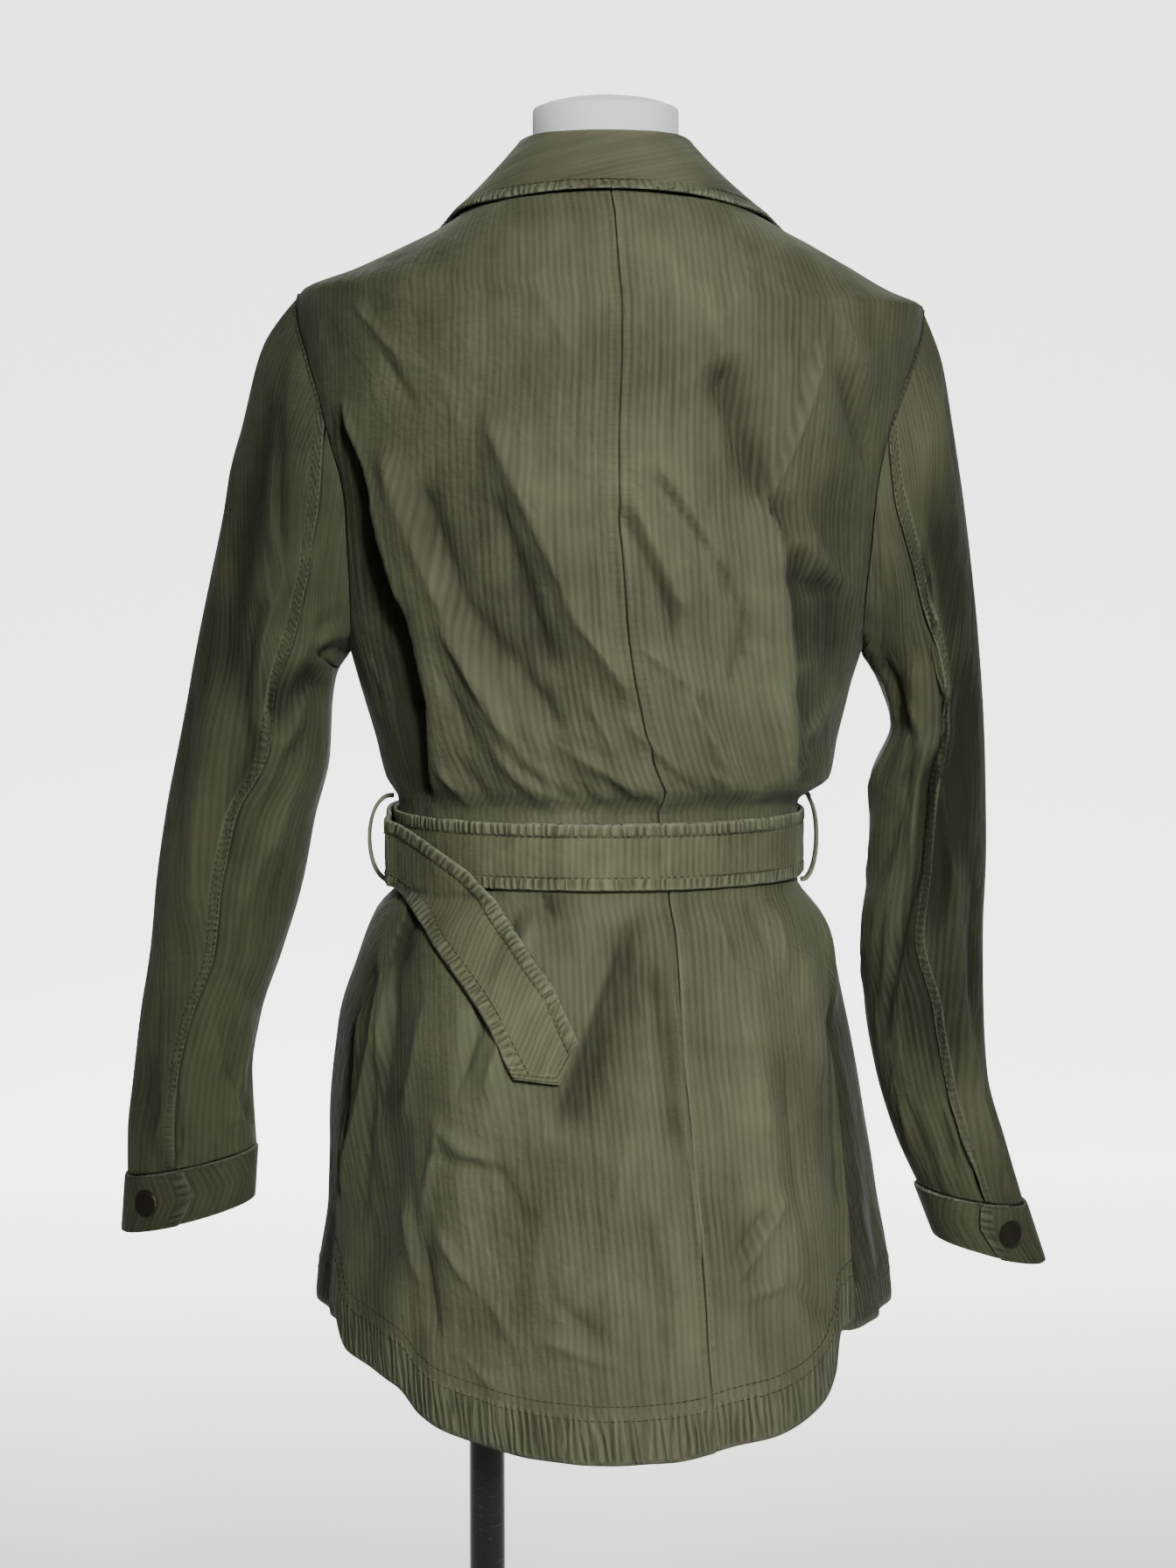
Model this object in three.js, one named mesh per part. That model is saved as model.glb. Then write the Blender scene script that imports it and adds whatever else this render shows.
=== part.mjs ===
// A belted field jacket, size small, worn by a limbless dress form on a pole and a round base.
// Millimetres, +Z up, +X to the wearer's right, -Y to the wearer's back. The base stands at z = 0.
// Angles on the body run round it from the centre back (0) over the right side (90) to the front (180).

import * as THREE from 'three';

const CLOTH = 2.0;
const SEAM_GAP = 0.5;
const SLEEVE_SEAM_GAP = 1.05;
const LAY_GAP = 0.8;
const SEAT_GAP = 0.35;

const ARMPIT_Z = 1064;
const SHOULDER_Z = { left: 1274, right: 1265 };
const SHOULDER_MIDDLE_Z = 1270;
const SKIRT_TOP_Z = 905;
const NECK_BACK_Z = 1335;
const NECK_FRONT_Z = 1295;
const BELT_TOP_Z = 971;
const BELT_BOTTOM_Z = 932;
const BELT_CLOTH = 2.6;
const LOOP_CLOTH = 1.6;
const BELT_LOOP_REACH = { left: 19, right: 13 };
const SECTION_SQUARENESS = 0.92;

const RAD = Math.PI / 180;

// Body sections of the jacket: the side limits left and right, the middle between them, and how
// far back and front reach.
const BODY = [
  { z: 600, left: -160, middle: 13.5, right: 187, back: 134, front: 126 },
  { z: 690, left: -158, middle: 13, right: 184, back: 132, front: 126 },
  { z: 733, left: -156, middle: 12, right: 180, back: 131, front: 125 },
  { z: 775, left: -156, middle: 8.5, right: 173, back: 128, front: 122 },
  { z: 837, left: -150, middle: 6, right: 162, back: 121, front: 116 },
  { z: 879, left: -137, middle: 7.5, right: 152, back: 111, front: 108 },
  { z: 910, left: -124, middle: 8, right: 140, back: 100, front: 98 },
  { z: 928, left: -110, middle: 9, right: 128, back: 91, front: 91 },
  { z: 975, left: -110, middle: 9, right: 128, back: 91, front: 91 },
  { z: 990, left: -118, middle: 14.5, right: 147, back: 101, front: 101 },
  { z: 1014, left: -124, middle: 14, right: 152, back: 106, front: 112 },
  { z: 1035, left: -130, middle: 13.5, right: 157, back: 108, front: 120 },
  { z: 1064, left: -138, middle: 13.5, right: 165, back: 111, front: 129 },
  { z: 1120, left: -152, middle: 14, right: 180, back: 115, front: 136 },
  { z: 1185, left: -163, middle: 13.5, right: 190, back: 117, front: 132 },
  { z: 1237, left: -167, middle: 15, right: 197, back: 114, front: 113 },
  { z: 1265, left: -168, middle: 15, right: 199, back: 108, front: 95 },
  { z: 1274, left: -166, middle: 14.8, right: 180, back: 106, front: 89 },
  { z: 1289, left: -130, middle: 14.5, right: 155, back: 100, front: 75 },
  { z: 1299.5, left: -107, middle: 14.5, right: 136, back: 94, front: 67 },
  { z: 1312.5, left: -82, middle: 14.5, right: 112, back: 84, front: 58 },
  { z: 1325, left: -64, middle: 13.5, right: 90, back: 73, front: 52 },
  { z: 1337, left: -48, middle: 13, right: 74, back: 60, front: 47 },
];

// Seam angles in degrees: the centre back leans to the right as it goes down, because the
// jacket is pulled round under its belt, and the side seams come towards the back.
const SEAMS = [
  { z: 600, left: -65, centre: 19, right: 55 },
  { z: 684, left: -66, centre: 17.5, right: 55 },
  { z: 750, left: -71, centre: 17.3, right: 58 },
  { z: 797, left: -67, centre: 17.6, right: 61 },
  { z: 865, left: -64, centre: 17, right: 66 },
  { z: 928, left: -72, centre: 18, right: 83 },
  { z: 975, left: -84, centre: 14.7, right: 90 },
  { z: 1003, left: -90, centre: 10, right: 90 },
  { z: 1047, left: -90, centre: 5.5, right: 90 },
  { z: 1091, left: -90, centre: 3, right: 90 },
  { z: 1159, left: -90, centre: 1.6, right: 90 },
  { z: 1342, left: -90, centre: 1.5, right: 90 },
];

// How far the armhole bites into the back and the front, in degrees, by height within it.
const ARMHOLE = [
  { rise: 0, back: 0, front: 0 },
  { rise: 0.06, back: 15, front: 18 },
  { rise: 0.25, back: 24, front: 31 },
  { rise: 0.5, back: 27, front: 36 },
  { rise: 0.65, back: 25, front: 34 },
  { rise: 0.85, back: 15, front: 19 },
  { rise: 1, back: 0, front: 0 },
];

// The hem: a shirt-tail back between the side seams, and a shorter front.
const BACK_HEM = [
  { angle: -75, z: 694 },
  { angle: -64, z: 686 },
  { angle: -57, z: 669 },
  { angle: -41, z: 656 },
  { angle: -35, z: 643 },
  { angle: -22, z: 627 },
  { angle: -8, z: 619 },
  { angle: 5, z: 617 },
  { angle: 25, z: 626 },
  { angle: 35, z: 631 },
  { angle: 43, z: 639 },
  { angle: 50, z: 654 },
  { angle: 55, z: 676 },
  { angle: 70, z: 690 },
];
const FRONT_HEM = [
  { angle: 50, z: 673 },
  { angle: 90, z: 674 },
  { angle: 140, z: 665 },
  { angle: 190, z: 660 },
];

// Folds of the body: from (x0, z0) to (x1, z1) seen from the back, half width and height.
const BACK_FOLDS = [
  { x0: -136, z0: 1186, x1: -96, z1: 1010, width: 15, height: -10 },
  { x0: -118, z0: 1180, x1: -74, z1: 985, width: 15, height: 7 },
  { x0: 136, z0: 1236, x1: 104, z1: 1150, width: 14, height: 6 },
  { x0: 104, z0: 1150, x1: 122, z1: 990, width: 15, height: 6 },
  { x0: 150, z0: 1180, x1: 138, z1: 1000, width: 14, height: -5 },
  { x0: -52, z0: 1198, x1: -12, z1: 1112, width: 15, height: 4 },
  { x0: -112, z0: 1160, x1: -38, z1: 1016, width: 16, height: 4 },
  { x0: 38, z0: 1190, x1: 98, z1: 1078, width: 15, height: 4 },
  { x0: -20, z0: 1040, x1: 40, z1: 990, width: 12, height: 4 },
  { x0: -60, z0: 900, x1: -72, z1: 700, width: 15, height: 6 },
  { x0: -30, z0: 920, x1: -52, z1: 800, width: 12, height: 5 },
  { x0: 36, z0: 900, x1: -12, z1: 800, width: 14, height: -5 },
  { x0: 44, z0: 905, x1: 52, z1: 660, width: 12, height: 4 },
  { x0: 92, z0: 900, x1: 118, z1: 690, width: 16, height: 5 },
  { x0: -104, z0: 890, x1: -118, z1: 700, width: 13, height: -5 },
];
const FRONT_FOLDS = [
  { x0: -70, z0: 1130, x1: -52, z1: 995, width: 15, height: 6 },
  { x0: 92, z0: 1130, x1: 70, z1: 995, width: 15, height: 6 },
  { x0: -108, z0: 1110, x1: -88, z1: 1000, width: 13, height: -5 },
  { x0: 128, z0: 1110, x1: 108, z1: 1000, width: 13, height: -5 },
  { x0: -50, z0: 900, x1: -66, z1: 700, width: 16, height: 6 },
  { x0: 70, z0: 900, x1: 88, z1: 700, width: 16, height: 6 },
  { x0: 62, z0: 1045, x1: 92, z1: 992, width: 13, height: 4 },
];
const FOLD_FADE = 26;

// Sleeve sections from the armhole to the cuff: the outer and inner points of the outline,
// the reach to back and front of the middle between them, and the angle of the back seam.
const SLEEVE = {
  left: [
    { at: 0, outX: -166, outZ: 1274, inX: -138, inZ: 1064, back: 56, front: 62, middle: 2, seam: 75 },
    { at: 1, outX: -188, outZ: 1245, inX: -140, inZ: 1061, back: 58, front: 60, middle: 3, seam: 98 },
    { at: 2, outX: -200, outZ: 1203, inX: -143, inZ: 1057, back: 56, front: 56, middle: 4, seam: 112 },
    { at: 3, outX: -214, outZ: 1141, inX: -147, inZ: 1050, back: 52, front: 52, middle: 5, seam: 114 },
    { at: 4, outX: -229, outZ: 1074, inX: -150, inZ: 1034, back: 48, front: 47, middle: 6, seam: 109 },
    { at: 5, outX: -241, outZ: 1014, inX: -152, inZ: 1000, back: 45, front: 44, middle: 7, seam: 106 },
    { at: 6, outX: -248, outZ: 968, inX: -161, inZ: 964, back: 42, front: 42, middle: 8, seam: 92 },
    { at: 7, outX: -254, outZ: 926, inX: -169, inZ: 924, back: 40, front: 40, middle: 9, seam: 90 },
    { at: 8, outX: -258, outZ: 884, inX: -181, inZ: 882, back: 37, front: 37, middle: 10, seam: 94 },
    { at: 9, outX: -264, outZ: 845, inX: -193, inZ: 844, back: 35, front: 35, middle: 10, seam: 87 },
    { at: 10, outX: -269, outZ: 806, inX: -198, inZ: 808, back: 33, front: 33, middle: 10, seam: 82 },
    { at: 11, outX: -275, outZ: 772, inX: -197, inZ: 782, back: 32, front: 32, middle: 10, seam: 81 },
    { at: 12, outX: -277.5, outZ: 746.7, inX: -199, inZ: 763.7, back: 30, front: 31, middle: 10, seam: 80 },
  ],
  right: [
    { at: 0, outX: 199, outZ: 1265, inX: 165, inZ: 1064, back: 56, front: 62, middle: 2, seam: 75 },
    { at: 1, outX: 211, outZ: 1235, inX: 166, inZ: 1061, back: 58, front: 60, middle: 3, seam: 92 },
    { at: 2, outX: 218, outZ: 1196, inX: 168, inZ: 1058, back: 56, front: 56, middle: 4, seam: 98 },
    { at: 3, outX: 227, outZ: 1139, inX: 171, inZ: 1054, back: 52, front: 52, middle: 5, seam: 96 },
    { at: 4, outX: 235, outZ: 1072, inX: 178, inZ: 1040, back: 48, front: 47, middle: 6, seam: 88 },
    { at: 5, outX: 239, outZ: 1024, inX: 184, inZ: 1018, back: 45, front: 44, middle: 7, seam: 92 },
    { at: 6, outX: 240, outZ: 984, inX: 170, inZ: 984, back: 43, front: 42, middle: 8, seam: 96 },
    { at: 7, outX: 240, outZ: 940, inX: 169, inZ: 938, back: 41, front: 40, middle: 9, seam: 102 },
    { at: 8, outX: 238, outZ: 897, inX: 164, inZ: 897, back: 39, front: 38, middle: 10, seam: 104 },
    { at: 9, outX: 238, outZ: 852, inX: 168, inZ: 852, back: 37, front: 36, middle: 11, seam: 88 },
    { at: 10, outX: 241, outZ: 808, inX: 177, inZ: 810, back: 34, front: 34, middle: 11, seam: 83 },
    { at: 11, outX: 254, outZ: 766, inX: 190, inZ: 768, back: 32, front: 32, middle: 11, seam: 81 },
    { at: 12, outX: 267.8, outZ: 728.8, inX: 203, inZ: 739.8, back: 30, front: 31, middle: 11, seam: 80 },
  ],
};
const SLEEVE_JOIN = 2.2;
const FRONT_SLEEVE_SEAM = -90;

// Creases of the sleeves: from (at0, angle0) to (at1, angle1), half width in mm and height.
const SLEEVE_FOLDS = {
  left: [
    { at0: 0.5, angle0: 45, at1: 4.6, angle1: 66, width: 13, height: -6 },
    { at0: 3.4, angle0: 150, at1: 4.6, angle1: 100, width: 12, height: -8 },
    { at0: 4.2, angle0: 60, at1: 7.6, angle1: 70, width: 13, height: 6 },
    { at0: 5, angle0: -60, at1: 8, angle1: -80, width: 14, height: -6 },
    { at0: 9.5, angle0: 40, at1: 11.8, angle1: 60, width: 11, height: -4 },
  ],
  right: [
    { at0: 0.6, angle0: 50, at1: 3.2, angle1: 48, width: 12, height: 5 },
    { at0: 4.2, angle0: 60, at1: 8, angle1: 88, width: 13, height: -8 },
    { at0: 3.6, angle0: 110, at1: 5.6, angle1: 130, width: 12, height: 7 },
    { at0: 5, angle0: -60, at1: 8, angle1: -80, width: 14, height: -6 },
    { at0: 9.4, angle0: 60, at1: 11.6, angle1: 50, width: 11, height: 5 },
  ],
};

// Cuffs: the top and bottom rings below the sleeve, as the sleeve's last section is given.
const CUFF = {
  left: [
    { outX: -277.5, outZ: 746, inX: -199, inZ: 763, back: 30, front: 31, middle: 10 },
    { outX: -280, outZ: 711, inX: -201, inZ: 731, back: 31, front: 31, middle: 9 },
  ],
  right: [
    { outX: 268, outZ: 728, inX: 203, inZ: 739, back: 30, front: 31, middle: 11 },
    { outX: 280, outZ: 692, inX: 215, inZ: 708, back: 31, front: 31, middle: 10 },
  ],
};
const CUFF_TAB_ANGLE = { left: 86, right: 84 };
const CUFF_TAB_TIP = 12;
const CUFF_UNDERLAP = 34;
const CUFF_SNAP_ANGLE = { left: 58, right: 66 };

// The collar: its fold ring and the height of its fall edge on the body, by angle.
const COLLAR = [
  { angle: 0, foldReach: 50, foldZ: 1363, edgeZ: 1326 },
  { angle: 50, foldReach: 47, foldZ: 1363, edgeZ: 1321.5 },
  { angle: 90, foldReach: 45.5, foldZ: 1358.5, edgeZ: 1314 },
  { angle: 125, foldReach: 49, foldZ: 1344, edgeZ: 1291 },
  { angle: 155, foldReach: 55, foldZ: 1327, edgeZ: 1262 },
  { angle: 172, foldReach: 58, foldZ: 1321, edgeZ: 1271 },
];
const COLLAR_CENTRE_X = 13;
const COLLAR_ROLL = 3.4;
const COLLAR_END = 171;

// The dress form under the jacket, below the shoulders that carry it.
const FORM = [
  { z: 690, left: -118, right: 138, back: 94, front: 90 },
  { z: 696, left: -126, right: 147, back: 102, front: 97 },
  { z: 760, left: -132, right: 150, back: 108, front: 103 },
  { z: 840, left: -124, right: 138, back: 101, front: 97 },
  { z: 900, left: -108, right: 124, back: 88, front: 86 },
  { z: 952, left: -98, right: 116, back: 80, front: 80 },
  { z: 1000, left: -104, right: 122, back: 85, front: 90 },
  { z: 1064, left: -118, right: 142, back: 95, front: 110 },
  { z: 1120, left: -128, right: 154, back: 101, front: 122 },
  { z: 1185, left: -138, right: 166, back: 104, front: 118 },
  { z: 1240, left: -148, right: 177, back: 101, front: 104 },
  { z: 1257, left: -154, right: 184, back: 98, front: 95 },
];
const FORM_INSET = CLOTH + 1.1;
const FORM_NECK = { x: 13, halfWidth: 43.4, halfDepth: 45, bottomZ: 1335, topZ: 1395, crown: 8 };

const POLE = { x: -59, y: 0, radius: 11 };
const HUB = { radius: 42, bottomZ: 611 };
const BASE = { radius: 190, thickness: 14, bevel: 3, bossRadius: 22, bossHeight: 34 };

const SNAP = { radius: 8.6, height: 2.6, rim: 1 };
const FRONT_SNAP_HEIGHTS = [1245, 1172, 1103, 1034, 870, 800];
const PLACKET_OVERLAP = 12.86;
const PLACKET_LIFT = 3.6;

const POCKET = { near: 100, far: 143, bottomZ: 694, topZ: 786 };
const FLAP = { near: 98, far: 145, bottomZ: 743, topZ: 796, point: 8 };

const COLOURS = {
  cloth: 0x5d5f3c,
  belt: 0x62643f,
  snap: 0x2c2520,
  metal: 0x55524c,
  form: 0xdfe2e4,
  pole: 0x0b0b0c,
};

// Smooth reading of one column of a table, which never overshoots its rows.
function read(rows, key, column, value) {
  const last = rows.length - 1;
  if (value <= rows[0][key]) return rows[0][column];
  if (value >= rows[last][key]) return rows[last][column];
  let i = 0;
  while (value > rows[i + 1][key]) i += 1;
  const slope = (n) => {
    if (n < 0 || n >= last) return 0;
    return (rows[n + 1][column] - rows[n][column]) / (rows[n + 1][key] - rows[n][key]);
  };
  const tangent = (n) => {
    const before = slope(n - 1);
    const after = slope(n);
    return before * after > 0 ? (2 * before * after) / (before + after) : 0;
  };
  const span = rows[i + 1][key] - rows[i][key];
  const t = (value - rows[i][key]) / span;
  const a = rows[i][column];
  const b = rows[i + 1][column];
  const rise = t * t * (3 - 2 * t);
  const ease = t * (1 - t);
  return a + (b - a) * rise + span * ease * ((1 - t) * tangent(i) - t * tangent(i + 1));
}

function smooth(t) {
  const s = Math.min(1, Math.max(0, t));
  return s * s * (3 - 2 * s);
}

function mix(a, b, t) {
  return a + (b - a) * t;
}

function power(value) {
  return Math.sign(value) * Math.abs(value) ** SECTION_SQUARENESS;
}

// Height of a fold row at a place, with soft sides and soft ends.
function foldHeight(row, x, y, keys) {
  const dx = row[keys[2]] - row[keys[0]];
  const dy = row[keys[3]] - row[keys[1]];
  const length = Math.hypot(dx, dy);
  const along = ((x - row[keys[0]]) * dx + (y - row[keys[1]]) * dy) / length;
  const across = ((x - row[keys[0]]) * dy - (y - row[keys[1]]) * dx) / length;
  const ends = smooth(along / (length * 0.3) + 0.3) * smooth((length - along) / (length * 0.3) + 0.3);
  return row.height * ends * Math.exp(-((across / row.width) ** 2));
}

function section(table, angle, z) {
  const left = read(table, 'z', 'left', z);
  const right = read(table, 'z', 'right', z);
  const middle = 'middle' in table[0] ? read(table, 'z', 'middle', z) : (left + right) / 2;
  const turn = angle * RAD;
  const depth = Math.cos(turn) > 0 ? read(table, 'z', 'back', z) : read(table, 'z', 'front', z);
  const side = Math.sin(turn) > 0 ? right - middle : middle - left;
  return new THREE.Vector3(
    middle + side * power(Math.sin(turn)),
    -depth * power(Math.cos(turn)),
    z,
  );
}

// A point of the jacket's outer face on the body, with its folds.
function body(angle, z) {
  const point = section(BODY, angle, z);
  const turn = angle * RAD;
  const back = smooth((Math.cos(turn) + 0.1) / 0.35);
  const calm = smooth(Math.abs(z - (BELT_TOP_Z + BELT_BOTTOM_Z) / 2) / FOLD_FADE - 0.8);
  const keys = ['x0', 'z0', 'x1', 'z1'];
  let push = 0;
  for (const row of BACK_FOLDS) push += back * foldHeight(row, point.x, z, keys);
  for (const row of FRONT_FOLDS) push += (1 - back) * foldHeight(row, point.x, z, keys);
  push *= calm;
  point.x += push * Math.sin(turn);
  point.y -= push * Math.cos(turn);
  return point;
}

function normalOf(point, a, b, stepA, stepB) {
  const alongA = point(a + stepA, b).sub(point(a - stepA, b));
  const alongB = point(a, b + stepB).sub(point(a, b - stepB));
  return alongA.cross(alongB).normalize();
}

// A place on the body's cloth: the outer point, and the inner one through its thickness.
function bodyCloth(angle, z, lift = 0, thickness = CLOTH) {
  const normal = normalOf(body, angle, z, 1, 1.5);
  const outer = body(angle, z).addScaledVector(normal, lift);
  return { outer, inner: outer.clone().addScaledVector(normal, -thickness) };
}

// A closed wall from rows of outer and inner points; a ring joins its last column to its first.
function wall(rows, ring = false) {
  const height = rows.length;
  const width = rows[0].length;
  const positions = [];
  for (const face of ['outer', 'inner']) {
    for (const row of rows) {
      for (const place of row) positions.push(place[face].x, place[face].y, place[face].z);
    }
  }
  const id = (face, i, j) => face * height * width + i * width + (j % width);
  const index = [];
  const quad = (a, b, c, d) => index.push(a, b, c, a, c, d);
  const columns = ring ? width : width - 1;
  for (let i = 0; i < height - 1; i += 1) {
    for (let j = 0; j < columns; j += 1) {
      quad(id(0, i, j), id(0, i, j + 1), id(0, i + 1, j + 1), id(0, i + 1, j));
      quad(id(1, i, j), id(1, i + 1, j), id(1, i + 1, j + 1), id(1, i, j + 1));
    }
  }
  for (let j = 0; j < columns; j += 1) {
    const top = height - 1;
    quad(id(0, 0, j), id(1, 0, j), id(1, 0, j + 1), id(0, 0, j + 1));
    quad(id(0, top, j), id(0, top, j + 1), id(1, top, j + 1), id(1, top, j));
  }
  if (!ring) {
    const end = width - 1;
    for (let i = 0; i < height - 1; i += 1) {
      quad(id(0, i, 0), id(0, i + 1, 0), id(1, i + 1, 0), id(1, i, 0));
      quad(id(0, i, end), id(1, i, end), id(1, i + 1, end), id(0, i + 1, end));
    }
  }
  return outward(positions, index);
}

// Stacked closed rings, capped flat at both ends.
function stack(rings) {
  const positions = [];
  for (const ring of rings) {
    for (const point of ring) positions.push(point.x, point.y, point.z);
  }
  const width = rings[0].length;
  const index = [];
  for (let i = 0; i < rings.length - 1; i += 1) {
    for (let j = 0; j < width; j += 1) {
      const a = i * width + j;
      const b = i * width + ((j + 1) % width);
      index.push(a, b, b + width, a, b + width, a + width);
    }
  }
  const top = (rings.length - 1) * width;
  for (let j = 1; j < width - 1; j += 1) {
    index.push(0, j + 1, j);
    index.push(top, top + j, top + j + 1);
  }
  return outward(positions, index);
}

function outward(positions, index) {
  let volume = 0;
  const corner = (n) => new THREE.Vector3().fromArray(positions, 3 * n);
  for (let i = 0; i < index.length; i += 3) {
    volume += corner(index[i]).dot(corner(index[i + 1]).cross(corner(index[i + 2])));
  }
  if (volume < 0) index.reverse();
  const geometry = new THREE.BufferGeometry();
  geometry.setAttribute('position', new THREE.Float32BufferAttribute(positions, 3));
  geometry.setIndex(index);
  geometry.computeVertexNormals();
  return geometry;
}

function steps(count) {
  return Array.from({ length: count + 1 }, (unused, i) => i / count);
}

const jacket = new THREE.Group();

function add(name, geometry, colour, roughness = 0.9, metalness = 0) {
  const material = new THREE.MeshStandardMaterial({ color: colour, roughness, metalness });
  const mesh = new THREE.Mesh(geometry, material);
  mesh.name = name;
  jacket.add(mesh);
  return mesh;
}

// Heights of the armhole's points, shared by the body panels and the sleeve that meets them.
const ARMHOLE_STEPS = 12;

// Where the yoke starts: the shoulder point at the side, and one height at the middle.
function yokeHeight(side, angle) {
  const aside = 1 - Math.abs(Math.abs(angle) - 90) / 90;
  return mix(SHOULDER_MIDDLE_Z, SHOULDER_Z[side], Math.max(0, aside));
}

// The side edge of a panel in degrees from the centre back: side seam, armhole, shoulder seam.
function sideEdge(side, face, z) {
  const sign = side === 'left' ? -1 : 1;
  if (z <= ARMPIT_Z) return sign * Math.abs(read(SEAMS, 'z', side, z));
  const rise = (z - ARMPIT_Z) / (SHOULDER_Z[side] - ARMPIT_Z);
  const bite = rise >= 1 ? 0 : read(ARMHOLE, 'rise', face, rise);
  return sign * (face === 'back' ? 90 - bite : 90 + bite);
}

function seamTurn(z, gap = SEAM_GAP / 2) {
  const radius = (read(BODY, 'z', 'right', z) - read(BODY, 'z', 'left', z)) / 2;
  return gap / radius / RAD;
}

// Row heights of a panel; those of the skirt and the yoke stretch to the hem and the neck.
const SKIRT_ROWS = 7;
const WAIST_HEIGHTS = [930, 952, 973, 987, 1006, 1034];
const YOKE_ROWS = 4;

function panelRows() {
  const skirt = steps(SKIRT_ROWS).map((t) => ({ zone: 'skirt', t }));
  const waist = WAIST_HEIGHTS.map((z) => ({ zone: 'waist', z }));
  const armhole = steps(ARMHOLE_STEPS).map((t) => ({ zone: 'armhole', t: (1 - Math.cos(Math.PI * t)) / 2 }));
  const yoke = steps(YOKE_ROWS).slice(1).map((t) => ({ zone: 'yoke', t }));
  return [...skirt, ...waist, ...armhole, ...yoke];
}

function rowHeight(row, side, hem, angle) {
  if (row.zone === 'waist') return row.z;
  if (row.zone === 'skirt') return mix(read(hem, 'angle', 'z', angle), SKIRT_TOP_Z, row.t);
  const yoke = yokeHeight(side, angle);
  if (row.zone === 'armhole') return mix(ARMPIT_Z, yoke, row.t);
  return mix(yoke, neckHeight(angle), row.t);
}

function neckHeight(angle) {
  const turn = Math.abs(angle);
  return mix(NECK_BACK_Z, NECK_FRONT_Z, smooth((turn - 90) / 85));
}

function panel(side, face, columns) {
  const sign = side === 'left' ? -1 : 1;
  const front = face === 'front';
  const hem = front ? FRONT_HEM : BACK_HEM;
  const away = front ? -sign : sign;
  const edges = (row, z) => {
    const middle = front ? sign * (180 + PLACKET_OVERLAP) : read(SEAMS, 'z', 'centre', z) + away * seamTurn(z);
    if (row.zone !== 'armhole') return { middle, edge: sideEdge(side, face, z) - away * seamTurn(z) };
    const edgeZ = mix(ARMPIT_Z, SHOULDER_Z[side], row.t);
    return { middle, edge: sideEdge(side, face, edgeZ) - away * (row.t === 0 || row.t === 1 ? seamTurn(edgeZ) : 0) };
  };
  const rows = panelRows().map((row) => steps(columns).map((u) => {
    let z = row.zone === 'skirt' ? mix(650, SKIRT_TOP_Z, row.t) : rowHeight(row, side, hem, sign * 90);
    let angle = 0;
    for (let pass = 0; pass < 3; pass += 1) {
      const { middle, edge } = edges(row, z);
      angle = mix(middle, edge, u);
      z = rowHeight(row, side, hem, front ? Math.abs(angle) : angle);
      if (row.zone === 'armhole' && u === 1) z = mix(ARMPIT_Z, SHOULDER_Z[side], row.t);
    }
    return bodyCloth(angle, z, front ? frontLift(side, angle, z) : 0);
  }));
  return wall(rows);
}

// The right front laps over the left at the placket, and both fronts tuck behind the back's
// side edges below the belt.
function frontLift(side, angle, z) {
  const turn = Math.abs(angle);
  const over = side === 'right' ? PLACKET_LIFT * smooth((turn - 140) / 22) : 0;
  const tuck = 6 * smooth((SKIRT_TOP_Z - z) / 60) * smooth((100 - turn) / 25);
  return over - tuck;
}

add('back_left', panel('left', 'back', 10), COLOURS.cloth);
add('back_right', panel('right', 'back', 8), COLOURS.cloth);
add('front_left', panel('left', 'front', 8), COLOURS.cloth);
add('front_right', panel('right', 'front', 8), COLOURS.cloth);

// Sleeves. The angle runs from the outer edge (0) over the back (90) to the inner edge (180).
function armholePoint(side, angle) {
  const half = (SHOULDER_Z[side] - ARMPIT_Z) / 2;
  const z = ARMPIT_Z + half * (1 + Math.cos(angle * RAD));
  const face = Math.sin(angle * RAD) >= 0 ? 'back' : 'front';
  const point = body(sideEdge(side, face, z), z);
  const sign = side === 'left' ? -1 : 1;
  point.x += sign * SLEEVE_SEAM_GAP;
  return point;
}

function ringPoint(rows, at, angle) {
  const pick = (column) => read(rows, 'at', column, at);
  const turn = angle * RAD;
  const across = Math.cos(turn);
  const depth = Math.sin(turn) > 0 ? pick('back') : pick('front');
  return new THREE.Vector3(
    mix(pick('inX'), pick('outX'), (across + 1) / 2),
    pick('middle') - depth * power(Math.sin(turn)),
    mix(pick('inZ'), pick('outZ'), (across + 1) / 2),
  );
}

function sleevePoint(side, at, angle) {
  const ring = ringPoint(SLEEVE[side], Math.max(0, at), angle);
  const sign = side === 'left' ? -1 : 1;
  const turn = angle * RAD;
  const keys = ['at0', 'angle0', 'at1', 'angle1'];
  let push = 0;
  for (const row of SLEEVE_FOLDS[side]) {
    const scaled = {
      at0: row.at0 * 42,
      angle0: row.angle0 * 0.8,
      at1: row.at1 * 42,
      angle1: row.angle1 * 0.8,
      width: row.width,
      height: row.height,
    };
    const wrapped = angle > 200 ? angle - 360 : angle;
    push += foldHeight(scaled, at * 42, wrapped * 0.8, keys);
  }
  push *= smooth(at / 1.5) * smooth((12 - at) / 1.2);
  ring.x += sign * push * Math.cos(turn);
  ring.y -= push * Math.sin(turn);
  const join = 1 - smooth(at / SLEEVE_JOIN);
  if (join === 0) return ring;
  const start = armholePoint(side, angle).sub(ringPoint(SLEEVE[side], 0, angle));
  return ring.addScaledVector(start, join);
}

function sleeveCloth(side, at, angle, lift = 0) {
  const sign = side === 'left' ? 1 : -1;
  const point = (a, b) => sleevePoint(side, Math.max(0, a), b);
  const outer = point(at, angle);
  const normal = normalOf(point, at, angle, 0.1, 2).multiplyScalar(sign);
  outer.addScaledVector(normal, lift);
  return { outer, inner: outer.clone().addScaledVector(normal, -CLOTH) };
}

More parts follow.
